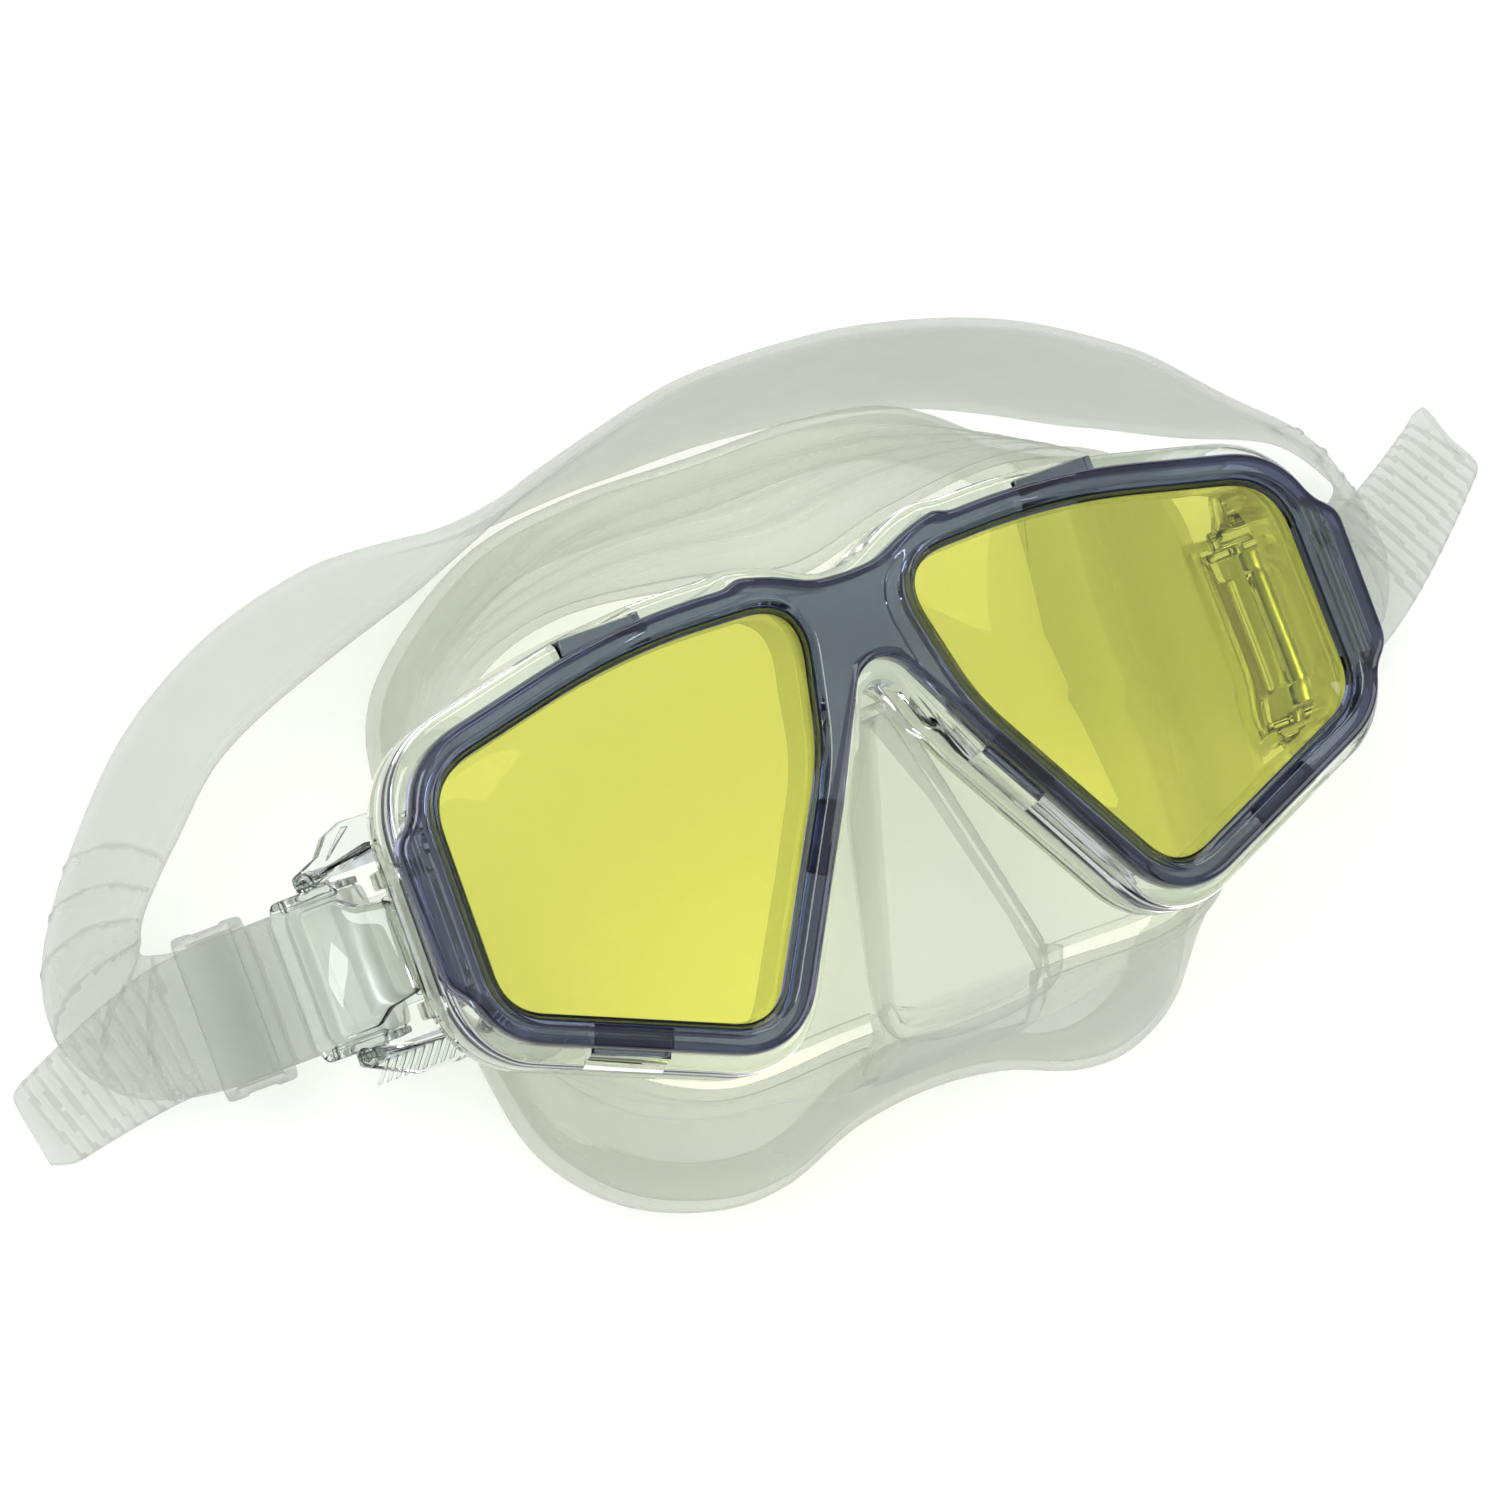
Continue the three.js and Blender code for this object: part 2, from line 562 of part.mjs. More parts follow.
// U-shaped flat spring under the buckle floor that pushes both buttons outwards.
function buttonSpring() {
  const outline = [[4, 14.6], [4, 16.2], [20.2, 16.2], [21.8, 14.6], [21.8, -14.6], [20.2, -16.2], [4, -16.2],
    [4, -14.6], [19.6, -14.6], [20.2, -14], [20.2, 14], [19.6, 14.6]];
  return toGeometry(prism(outline.map(([x, y]) => new THREE.Vector2(x, y)).reverse(), -7, -6));
}

// ---- assembly --------------------------------------------------------------
const mask = new THREE.Group();
mask.position.set(-CENTRE.x, -CENTRE.y, 0);

function add(parent, name, geometry, colour, roughness = 0.25, metalness = 0) {
  const material = new THREE.MeshStandardMaterial({ color: COLOURS[colour], roughness, metalness });
  const mesh = new THREE.Mesh(geometry, material);
  mesh.name = name;
  parent.add(mesh);
  return mesh;
}

add(mask, 'main_frame', mainFrame(), 'clear', 0.1);
add(mask, 'front_bezel', frontBezel(), 'smoke', 0.15);
add(mask, 'lens_left', lens(-1), 'yellow', 0.05);
add(mask, 'lens_right', lens(1), 'yellow', 0.05);
add(mask, 'skirt', skirt(), 'silicone', 0.4);
add(mask, 'strap_band', strapBand(), 'silicone', 0.45);

for (const name of ['left', 'right']) {
  const { side } = ROUTE[name];
  add(mask, `strap_${name}_end`, strapEnd(name), 'silicone', 0.45);
  add(mask, `${name}_strap_keeper`, strapKeeper(name), 'silicone', 0.4);
  const pin = new THREE.CylinderGeometry(PIN_R, PIN_R, 2 * EAR.out, 16);
  add(mask, `${name}_hinge_pin`, pin, 'steel', 0.3, 0.9).position.set(side * HINGE.x, 0, HINGE.z);

  const buckle = new THREE.Group();
  buckle.position.set(side * HINGE.x, 0, HINGE.z);
  buckle.rotation.set(0, rad(FOLD[name]), side > 0 ? 0 : Math.PI, 'ZYX');
  mask.add(buckle);
  add(buckle, `${name}_buckle_body`, buckleBody(), 'clear', 0.1);
  add(buckle, `${name}_buckle_cover`, buckleCover(), 'clear', 0.1);
  add(buckle, `${name}_strap_roller`, strapRoller(), 'steel', 0.3, 0.9).position.set(ROLLER.u, 0, 0);
  add(buckle, `${name}_strap_pawl`, strapPawl(), 'clear', 0.2).position.set(PAWL_U, 0, 0);
  add(buckle, `${name}_button_spring`, buttonSpring(), 'steel', 0.3, 0.9);
  for (const edge of [-1, 1]) {
    const place = edge * side > 0 ? 'upper' : 'lower';
    const button = add(buckle, `${name}_${place}_button`, squeezeButton(edge), 'clear', 0.1);
    button.position.set(BUTTON.pivot, edge * BUTTON.side, 0);
  }
}

const group = new THREE.Group();
group.add(mask);
export default group;
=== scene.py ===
"""A two-lens snorkel mask lying on its face seal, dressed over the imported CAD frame.

Shapes are worked in millimetres in the mask's own coordinates (+X across, +Y to the forehead,
+Z out through the lenses) and turned into metres in the row frame when a mesh is made.
"""

import math

import bmesh
import bpy
import numpy as np
from mathutils import Matrix, Vector
from mathutils.geometry import tessellate_polygon


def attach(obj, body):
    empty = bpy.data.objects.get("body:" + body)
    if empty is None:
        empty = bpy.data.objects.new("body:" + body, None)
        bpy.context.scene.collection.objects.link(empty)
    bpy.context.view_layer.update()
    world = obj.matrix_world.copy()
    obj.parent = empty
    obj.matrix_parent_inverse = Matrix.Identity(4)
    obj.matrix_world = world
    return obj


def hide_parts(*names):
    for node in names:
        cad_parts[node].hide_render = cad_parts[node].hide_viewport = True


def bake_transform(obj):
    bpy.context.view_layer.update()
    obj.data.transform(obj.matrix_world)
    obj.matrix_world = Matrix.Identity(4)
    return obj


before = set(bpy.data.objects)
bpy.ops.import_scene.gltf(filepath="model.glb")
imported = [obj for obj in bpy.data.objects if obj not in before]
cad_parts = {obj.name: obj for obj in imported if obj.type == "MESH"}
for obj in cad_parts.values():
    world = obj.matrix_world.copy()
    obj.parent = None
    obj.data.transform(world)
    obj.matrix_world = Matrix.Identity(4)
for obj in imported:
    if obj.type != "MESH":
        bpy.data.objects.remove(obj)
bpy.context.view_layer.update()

CENTRE = np.array((0.5, 6.2, 0.0))   # middle of the whole object, in mask coordinates
MM = 0.001


# ---- materials ---------------------------------------------------------------
def new_material(name):
    mat = bpy.data.materials.new(name)
    mat.use_nodes = True
    nt = mat.node_tree
    nt.nodes.clear()
    return mat, nt, nt.nodes.new("ShaderNodeOutputMaterial")


def noise(nt, scale, detail=3.0, rough=0.55):
    coord = nt.nodes.new("ShaderNodeTexCoord")
    tex = nt.nodes.new("ShaderNodeTexNoise")
    tex.inputs["Scale"].default_value = scale
    tex.inputs["Detail"].default_value = detail
    tex.inputs["Roughness"].default_value = rough
    nt.links.new(coord.outputs["Object"], tex.inputs["Vector"])
    return tex.outputs["Fac"]


def remap(nt, value, low, high, a=0.0, b=1.0):
    node = nt.nodes.new("ShaderNodeMapRange")
    for key, x in (("From Min", a), ("From Max", b), ("To Min", low), ("To Max", high)):
        node.inputs[key].default_value = x
    nt.links.new(value, node.inputs["Value"])
    return node.outputs["Result"]


def bump(nt, height, strength, distance):
    node = nt.nodes.new("ShaderNodeBump")
    node.inputs["Strength"].default_value = strength
    node.inputs["Distance"].default_value = distance
    nt.links.new(height, node.inputs["Height"])
    return node.outputs["Normal"]


def ramp(nt, value, stops):
    node = nt.nodes.new("ShaderNodeValToRGB")
    elements = node.color_ramp.elements
    for _ in range(len(stops) - 2):
        elements.new(0.5)
    for element, (place, colour) in zip(elements, stops):
        element.position = place
        element.color = (*colour, 1.0)
    nt.links.new(value, node.inputs["Fac"])
    return node.outputs["Color"]


def glass_material(name, colour, ior=1.49, rough=(0.0, 0.03), grain=0.02, grain_scale=90.0, lamp=None):
    """Moulded clear plastic or glass that bends light and lets lamps through to what is behind."""
    mat, nt, out = new_material(name)
    shader = nt.nodes.new("ShaderNodeBsdfPrincipled")
    shader.inputs["Base Color"].default_value = (*colour, 1.0)
    shader.inputs["IOR"].default_value = ior
    shader.inputs["Transmission Weight"].default_value = 1.0
    nt.links.new(remap(nt, noise(nt, 60.0), rough[0], rough[1], 0.35, 0.75), shader.inputs["Roughness"])
    nt.links.new(bump(nt, noise(nt, grain_scale, 2.0), grain, 0.0004), shader.inputs["Normal"])
    through = nt.nodes.new("ShaderNodeBsdfTransparent")
    through.inputs["Color"].default_value = (*(lamp or [c ** 0.5 for c in colour]), 1.0)
    path = nt.nodes.new("ShaderNodeLightPath")
    mix = nt.nodes.new("ShaderNodeMixShader")
    nt.links.new(path.outputs["Is Shadow Ray"], mix.inputs["Fac"])
    nt.links.new(shader.outputs[0], mix.inputs[1])
    nt.links.new(through.outputs[0], mix.inputs[2])
    nt.links.new(mix.outputs[0], out.inputs["Surface"])
    return mat


def silicone_material(name, body, through, low, high, rough=0.3, grain=0.06):
    """Cast clear silicone: mostly see-through face on, milky where the wall is seen edge on."""
    mat, nt, out = new_material(name)
    shader = nt.nodes.new("ShaderNodeBsdfPrincipled")
    cloud = noise(nt, 38.0, 4.0)
    tint = ramp(nt, cloud, [(0.3, tuple(0.93 * c for c in body)), (0.7, body)])
    nt.links.new(tint, shader.inputs["Base Color"])
    shader.inputs["IOR"].default_value = 1.42
    nt.links.new(remap(nt, noise(nt, 140.0, 4.0), rough - 0.08, rough + 0.14), shader.inputs["Roughness"])
    nt.links.new(bump(nt, noise(nt, 260.0, 3.0), grain, 0.0004), shader.inputs["Normal"])
    clear = nt.nodes.new("ShaderNodeBsdfTransparent")
    clear.inputs["Color"].default_value = (*through, 1.0)
    weight = nt.nodes.new("ShaderNodeLayerWeight")
    weight.inputs["Blend"].default_value = 0.45
    milk = remap(nt, weight.outputs["Facing"], low, high, 0.1, 0.95)
    mix = nt.nodes.new("ShaderNodeMixShader")
    nt.links.new(milk, mix.inputs["Fac"])
    nt.links.new(clear.outputs[0], mix.inputs[1])
    nt.links.new(shader.outputs[0], mix.inputs[2])
    path = nt.nodes.new("ShaderNodeLightPath")
    lit = nt.nodes.new("ShaderNodeMixShader")              # lamps shine through the wall
    nt.links.new(path.outputs["Is Shadow Ray"], lit.inputs["Fac"])
    nt.links.new(mix.outputs[0], lit.inputs[1])
    nt.links.new(clear.outputs[0], lit.inputs[2])
    nt.links.new(lit.outputs[0], out.inputs["Surface"])
    return mat


def metal_material(name, colour, rough):
    mat, nt, out = new_material(name)
    shader = nt.nodes.new("ShaderNodeBsdfPrincipled")
    shader.inputs["Metallic"].default_value = 1.0
    cloud = noise(nt, 220.0, 4.0)
    nt.links.new(ramp(nt, cloud, [(0.3, tuple(0.8 * c for c in colour)), (0.7, colour)]),
                 shader.inputs["Base Color"])
    nt.links.new(remap(nt, cloud, rough - 0.08, rough + 0.12), shader.inputs["Roughness"])
    nt.links.new(bump(nt, cloud, 0.1, 0.0002), shader.inputs["Normal"])
    nt.links.new(shader.outputs[0], out.inputs["Surface"])
    return mat


CLEAR = glass_material("clear_moulded_plastic", (0.9, 0.925, 0.905))
SMOKE = glass_material("smoke_moulded_plastic", (0.20, 0.23, 0.32))
# painted shade: a near-black smoke laid on the bezel's edges in place of the dark lines that refraction gives there
SMOKE_PAINTED_EDGE_SHADE = glass_material("smoke_painted_edge_shade", (0.035, 0.04, 0.10))
YELLOW = glass_material("yellow_glass", (0.74, 0.73, 0.15), 1.5, (0.0, 0.015), 0.005, lamp=(0.97, 0.97, 0.86))
SKIRT = silicone_material("skirt_silicone", (0.5, 0.52, 0.475), (0.955, 0.965, 0.945), 0.25, 0.56, 0.3, 0.02)
STRAP = silicone_material("strap_silicone", (0.51, 0.535, 0.495), (0.94, 0.95, 0.935), 0.36, 0.47, 0.34, 0.02)
# painted shade: a darker, milkier silicone on the tail's teeth and the band's ribs, so that they read as shaded
# ridges; their thicker silicone is also milkier
STRAP_RIB_PAINTED_SHADE = silicone_material("strap_rib_silicone_painted_shade", (0.4, 0.42, 0.38), (0.9, 0.91, 0.89),
                              0.55, 0.65, 0.34, 0.02)
KEEPER = silicone_material("keeper_silicone", (0.44, 0.46, 0.42), (0.94, 0.95, 0.94), 0.3, 0.6, 0.26)
STEEL = metal_material("satin_steel", (0.62, 0.64, 0.66), 0.32)


# ---- mesh helpers ------------------------------------------------------------
def piece(name, verts, faces, mat, angle=38.0):
    """A smooth-shaded mesh from millimetre points in mask coordinates, sharp past `angle` degrees."""
    mesh = bpy.data.meshes.new(name)
    mesh.from_pydata(((np.asarray(verts, float) - CENTRE) * MM).tolist(), [], faces)
    bm = bmesh.new()
    bm.from_mesh(mesh)
    bmesh.ops.remove_doubles(bm, verts=bm.verts, dist=1e-6)
    bmesh.ops.recalc_face_normals(bm, faces=bm.faces)
    bm.to_mesh(mesh)
    bm.free()
    mesh.materials.append(mat)
    obj = bpy.data.objects.new(name, mesh)
    bpy.context.scene.collection.objects.link(obj)
    shade(obj, angle)
    return obj


def shade(obj, angle):
    mesh = obj.data
    mesh.polygons.foreach_set("use_smooth", [True] * len(mesh.polygons))
    mesh.set_sharp_from_angle(angle=math.radians(angle))


def apply_modifier(obj, kind, **settings):
    mod = obj.modifiers.new(kind, kind)
    for key, value in settings.items():
        setattr(mod, key, value)
    graph = bpy.context.evaluated_depsgraph_get()
    mesh = bpy.data.meshes.new_from_object(obj.evaluated_get(graph))
    obj.modifiers.clear()
    old, obj.data = obj.data, mesh
    bpy.data.meshes.remove(old)


def remove(*objects):
    for obj in objects:
        bpy.data.objects.remove(obj)


def done(obj, body, nodes):
    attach(obj, body)
    if nodes:
        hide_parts(*nodes)
    return obj


# ---- flat outlines -----------------------------------------------------------
SIGHT = [(9.2, 30.2, 8), (15, 5.7, 40), (37.8, -32.8, 8), (79, -15.6, 9), (78.5, 22.5, 11),
         (40, 31.2, 120)]                      # corner x, corner y, corner radius
EYE = np.array((46.0, 3.0))                    # a point inside every lens outline
BROW = np.array((0.0, 24.0))                   # a point inside every frame outline


def rounded(corners, steps=14):
    """Points round a cornered outline, each corner turned into an arc-like curve."""
    points = []
    for i, (x, y, radius) in enumerate(corners):
        here = np.array((x, y), float)
        a = np.array(corners[i - 1][:2]) - here
        b = np.array(corners[(i + 1) % len(corners)][:2]) - here
        la, lb = np.linalg.norm(a), np.linalg.norm(b)
        turn = math.pi - math.acos(np.clip(a @ b / la / lb, -1, 1))
        reach = min(radius * math.tan(turn / 2), la * 0.48, lb * 0.48)
        for t in np.linspace(0, 1, steps + 1):
            points.append(here + a / la * reach * (1 - t) ** 2 + b / lb * reach * t ** 2)
    return np.array(points)


def distance(points, outline):
    """Signed distance from points to a closed outline, negative inside."""
    a, b = outline, np.roll(outline, -1, 0)
    ab, ap = b - a, points[:, None] - a[None]
    t = np.clip((ap * ab).sum(-1) / np.maximum((ab * ab).sum(-1), 1e-12), 0, 1)
    away = np.linalg.norm(ap - t[..., None] * ab, axis=-1).min(1)
    y = points[:, 1][:, None]
    rise = np.where(ab[:, 1] == 0, 1e-9, ab[:, 1])
    crossing = a[:, 0] + (y - a[:, 1]) * ab[:, 0] / rise
    hits = ((a[:, 1] <= y) != (b[:, 1] <= y)) & (points[:, 0][:, None] < crossing)
    return np.where(hits.sum(1) % 2 == 1, -away, away)


def blended(a, b, k):
    """Smooth union of two signed distances, with fillets about k wide."""
    h = np.maximum(k - np.abs(a - b), 0) / k
    return np.minimum(a, b) - h * h * k / 4


def directions(field, origin, count, level=0.0):
    """Directions from origin whose points on the outline are evenly spaced."""
    even = np.linspace(0, 2 * math.pi, 1440, endpoint=False)
    rays = np.stack((np.cos(even), np.sin(even)), 1)
    points = level_ring(field, origin, rays, level)
    step = np.linalg.norm(np.roll(points, -1, 0) - points, axis=1)
    walked = np.concatenate(([0], np.cumsum(step)))
    angles = np.interp(np.linspace(0, walked[-1], count, endpoint=False), walked,
                       np.append(even, 2 * math.pi))
    return np.stack((np.cos(angles), np.sin(angles)), 1)


def level_ring(field, origin, rays, level):
    """Points where a signed distance field reaches `level` along rays from an inside point."""
    low, high = np.full(len(rays), 0.5), np.full(len(rays), 130.0)
    for _ in range(24):
        middle = (low + high) / 2
        inside = field(origin + rays * middle[:, None]) < level
        low, high = np.where(inside, middle, low), np.where(inside, high, middle)
    return origin + rays * ((low + high) / 2)[:, None]


SIGHT_LINE = rounded(SIGHT)
SIGHT_RAYS = directions(lambda p: distance(p, SIGHT_LINE), EYE, 220)


def sight_ring(side, offset, z):
    """Ring at `offset` outside the sight opening of the lens on that side."""
    ring = level_ring(lambda p: distance(p, SIGHT_LINE), EYE, SIGHT_RAYS, offset)
    ring = ring * (side, 1)
    return np.column_stack((ring, np.full(len(ring), z)))


def bridge_line(top, arch, half, drop):
    """Outline of the bridge: a dipped top edge over an arched nose cut."""
    x = np.linspace(-18, 18, 25)
    upper = np.column_stack((x, top + 3.6 * (x / 18) ** 2))
    k = np.linspace(1, -1, 25)
    lower = np.column_stack((half * k, arch - drop * k ** 2))
    return np.concatenate((upper, [(18, arch - drop)], lower, [(-18, arch - drop)]))


def tab_line(out, low, high):
    return rounded([(74, low - 8, 3), (out, low, 6), (out, high, 5), (74, high + 9, 3)], 6)


def silhouette(band, bridge, fillet, tab=None):
    """Signed distance field of a two-lens ring with its bridge and side tabs."""
    def field(p):
        right = distance(p, SIGHT_LINE) - band
        left = distance(p * (-1, 1), SIGHT_LINE) - band
        whole = blended(blended(right, left, fillet), distance(p, bridge), fillet)
        if tab is not None:
            whole = blended(whole, distance(np.abs(p) * (1, 0) + p * (0, 1), tab), 2.0)
        return whole
    return field


def lofted(rings, start=0):
    """Quads between successive rings of equal point count."""
    n, faces = len(rings[0]), []
    for r in range(len(rings) - 1):
        for k in range(n):
            a, b = start + r * n + k, start + r * n + (k + 1) % n
            faces.append((a, b, b + n, a + n))
    return faces


def filled(loops, indices):
    """Triangles of a flat face with holes, from its loops and their vertex numbers."""
    flat = [i for loop in indices for i in loop]
    tris = tessellate_polygon([[Vector(p) for p in loop] for loop in loops])
    return [tuple(flat[i] for i in tri) for tri in tris]


def plate(name, field, outer, inner, mat, count=460):
    """A ring-shaped plate: `outer` is (inset, z) round the silhouette from the bottom to the top,
    and `inner` is (offset, z) round both sight openings from the top to the bottom."""
    rays = directions(field, BROW, count)
    rings = [np.column_stack((level_ring(field, BROW, rays, -d), np.full(count, float(z))))
             for d, z in outer]
    verts, faces = [np.concatenate(rings)], lofted(rings)
    total = count * len(rings)
    tops, tops_at = [rings[-1]], [range(total - count, total)]
    lows, lows_at = [rings[0]], [range(count)]
    for side in (1, -1):
        holes = [sight_ring(side, d, z) for d, z in inner]
        n = len(holes[0])
        faces += lofted(holes, total)
        tops.append(holes[0])
        tops_at.append(range(total, total + n))
        total += n * len(holes)
        lows.append(holes[-1])
        lows_at.append(range(total - n, total))
        verts.append(np.concatenate(holes))
    faces += filled(tops, tops_at) + filled(lows, lows_at)
    return piece(name, np.concatenate(verts), faces, mat)


# ---- frame, bezel and lenses ---------------------------------------------------
CLIPS = [(42.2, 35.5, 14.5, 0.0), (61.1, -27.7, 12.7, 22.3), (17.8, -7.6, 12.0, -59.4)]


def clip_box(side, place, grow, low, high):
    """Corner points and faces of one snap clip, as a rounded bar lying along the frame's edge."""
    x, y, length, turn = place
    a = math.radians(turn)
    along, away = np.array((math.cos(a), math.sin(a))), np.array((-math.sin(a), math.cos(a)))
    half, wide = length / 2 + grow, 1.5 + grow
    verts = [(*(np.array((x, y)) + along * half * i + away * wide * j) * (side, 1), z)
             for z in (low, high) for i, j in ((-1, -1), (1, -1), (1, 1), (-1, 1))]
    faces = [(0, 3, 2, 1), (4, 5, 6, 7)] + [(i, (i + 1) % 4, (i + 1) % 4 + 4, i + 4) for i in range(4)]
    return verts, faces


def make_frame():
    field = silhouette(8.2, bridge_line(33.4, 13.5, 6.5, 8), 5.0)
    outer = [(3.0, 50), (0.9, 50), (0.3, 50.15), (0, 50.6), (0, 53.0), (0.45, 53.35), (0.45, 54.1),
             (0, 54.45), (0, 58.4), (0.12, 59.5), (0.5, 60.6), (1.1, 61.4), (1.9, 61.85), (2.8, 62), (3.3, 62)]
    inner = [(3.4, 62), (2.8, 62), (2.42, 61.85), (2.3, 61.5), (2.3, 50.7), (2.45, 50.2), (2.8, 50), (3.4, 50)]
    obj = plate("main_frame_clear", field, outer, inner, CLEAR)
    for side in (1, -1):
        for place in CLIPS:
            verts, faces = clip_box(side, place, 0.3, 57.0, 63.0)
            tool = piece("clip_cut", verts, faces, CLEAR)
            apply_modifier(obj, "BOOLEAN", operation="DIFFERENCE", object=tool, solver="EXACT")
            remove(tool)
    shade(obj, 38)
    return obj


def make_ears():
    """Two hinge ears under each side of the frame, rounded L-shaped lugs that hold the pin."""
    outline = rounded([(84, 50.6, 1), (87.2, 50.6, 1), (87.2, 45.4, 4), (84.4, 39.4, 3.4), (79, 39.1, 3.4),
                       (75.6, 42.5, 3.4), (77.2, 45.6, 3), (81.4, 46.2, 3), (83.2, 47.6, 3)], 5)
    verts, faces = [], []
    for side in (1, -1):
        for middle in (11.0, -11.0):
            start = len(verts)
            rings = []
            for inset, y in ((0.5, -1.5), (0.12, -1.35), (0, -1.0), (0, 1.0), (0.12, 1.35), (0.5, 1.5)):
                ring = shrink(outline, inset)
                rings.append([(side * x, middle + y, z) for x, z in ring])
            verts += [p for ring in rings for p in ring]
            faces += lofted(rings, start)
            n = len(outline)
            faces += [tuple(range(start, start + n)), tuple(range(len(verts) - n, len(verts)))]
    return piece("frame_hinge_ears", verts, faces, CLEAR)


def shrink(outline, inset):
    """A closed outline moved inwards by a small distance along its own normals."""
    after, before = np.roll(outline, -1, 0), np.roll(outline, 1, 0)
    along = after - before
    along = along / np.linalg.norm(along, axis=1)[:, None]
    area = (outline[:, 0] * after[:, 1] - after[:, 0] * outline[:, 1]).sum()
    inward = np.column_stack((-along[:, 1], along[:, 0])) * np.sign(area)
    return outline + inward * inset


def make_bezel():
    field = silhouette(5.2, bridge_line(32, 17, 8.6, 8), 4.0, tab_line(87.4, -10, 15))
    outer = [(1.6, 62.3), (0.4, 62.3), (0.1, 62.4), (0, 62.7), (0, 65.6), (0.1, 66.15), (0.4, 66.6), (0.85, 66.88),
             (1.3, 66.97), (1.55, 67)]
    inner = [(2.75, 67), (2.3, 67), (1.95, 66.9), (1.6, 66.55), (0.35, 64.75), (0.08, 64.4), (0, 64.1),
             (0.1, 63.85), (0.4, 63.76), (2.1, 63.76), (2.3, 63.6), (2.3, 62.6), (2.5, 62.3), (3.0, 62.3)]
    count = 460
    obj = plate("front_bezel_smoke", field, outer, inner, SMOKE, count)
    obj.data.materials.append(SMOKE_PAINTED_EDGE_SHADE)
    rim = count * (len(outer) - 1)             # painted shade: the outer edge and the steep walls get the near-black smoke, standing in for the dark edges that refraction shows
    for i, face in enumerate(obj.data.polygons):
        face.material_index = int(i < rim or abs(face.normal.z) < 0.4)
    verts, faces = [], []
    for side in (1, -1):
        for place in CLIPS:
            more, quads = clip_box(side, place, 0.0, 57.4, 62.9)
            faces += [tuple(i + len(verts) for i in q) for q in quads]
            verts += more
    clips = piece("bezel_snap_clips", verts, faces, SMOKE)
    apply_modifier(clips, "BEVEL", width=0.35 * MM, segments=3)
    shade(clips, 38)
    return obj, clips


def make_lens(side):
    profile = [(1.5, 59.8), (1.9, 59.9), (2.0, 60.1), (2.0, 63.4), (1.9, 63.6), (1.5, 63.7)]
    rings = [sight_ring(side, d, z) for d, z in profile]
    verts, faces, n = np.concatenate(rings), lofted(rings), len(rings[0])
    faces += [tuple(range(n)), tuple(range(len(verts) - n, len(verts)))]
    return piece("lens_pane_" + ("right" if side > 0 else "left"), verts, faces, YELLOW, 30)


done(make_frame(), "mask", ["main_frame"])
done(make_ears(), "mask", [])
bezel, bezel_clips = make_bezel()
done(bezel, "mask", ["front_bezel"])
done(bezel_clips, "mask", [])
for lens_side, lens_name in ((1, "lens_right"), (-1, "lens_left")):
    done(make_lens(lens_side), "mask", [lens_name])

# ---- skirt ---------------------------------------------------------------------
# Skirt outlines from the forehead to the lip, +X half: front plate, waist and face seal.
SKIRT_TOP = [(0, 31), (20, 36), (45, 37.3), (70, 32), (80, 22), (80.8, 5), (80.4, -12), (75, -22), (46, -36),
             (20, -37), (0, -37)]
SKIRT_WAIST = [(0, 37), (20, 41), (45, 42.5), (62, 36), (71.5, 22), (71.5, 5), (71.5, -12), (66, -27),
               (46, -41), (20, -42), (0, -42)]
SKIRT_RIM = [(0, 61.6), (23, 61.8), (40, 59.2), (53, 52), (64, 41), (68, 28), (68.5, 0), (67, -28), (63, -43),
             (54, -54), (40, -60), (29, -60), (14, -55), (0, -53.5)]
SKIRT_WALL = 2.0
NOSE = [(2.4, 10.5, 61), (3.2, 10.5, 44), (15.6, -39.5, 56), (16.6, -39.5, 44), (13, -43.5, 52),
        (18, -49.5, 34), (18, -46, 24), (14, -20, 40)]      # half width, y, z of the pocket's corners


def catmull(points, closed, count):
    """Centripetal Catmull-Rom curve through points, sampled `count` times per span."""
    p = np.asarray(points, float)
    p = np.vstack((p[-1], p, p[:2])) if closed else np.vstack((2 * p[0] - p[1], p, 2 * p[-1] - p[-2]))
    out = []
    for i in range(1, len(p) - 2):
        t = np.concatenate(([0], np.cumsum(np.sqrt(np.maximum(
            np.linalg.norm(np.diff(p[i - 1:i + 3, :3], axis=0), axis=1), 1e-9)))))
        s = (t[1] + (t[2] - t[1]) * np.arange(count) / count)[:, None]
        a = [p[i - 1 + j] * (t[j + 1] - s) / (t[j + 1] - t[j]) + p[i + j] * (s - t[j]) / (t[j + 1] - t[j])
             for j in range(3)]
        b = [a[j] * (t[j + 2] - s) / (t[j + 2] - t[j]) + a[j + 1] * (s - t[j]) / (t[j + 2] - t[j])
             for j in range(2)]
        out.append(b[0] * (t[2] - s) / (t[2] - t[1]) + b[1] * (s - t[1]) / (t[2] - t[1]))
    if not closed:
        out.append(p[-2][None])
    return np.concatenate(out)


def smooth_step(x, low, high):
    t = np.clip((x - low) / (high - low), 0, 1)
    return t * t * (3 - 2 * t)


SKIRT_ANGLES = np.linspace(0, 2 * math.pi, 288, endpoint=False)
SKIRT_RAYS = np.stack((np.cos(SKIRT_ANGLES), np.sin(SKIRT_ANGLES)), 1)


def skirt_radii(half):
    """Distance from the middle to a mirrored outline, at each of SKIRT_ANGLES."""
    outline = catmull(half + [(-x, y) for x, y in half[-2:0:-1]], True, 12)
    ring = level_ring(lambda p: distance(p, outline), np.zeros(2), SKIRT_RAYS, 0.0)
    return np.linalg.norm(ring, axis=1)


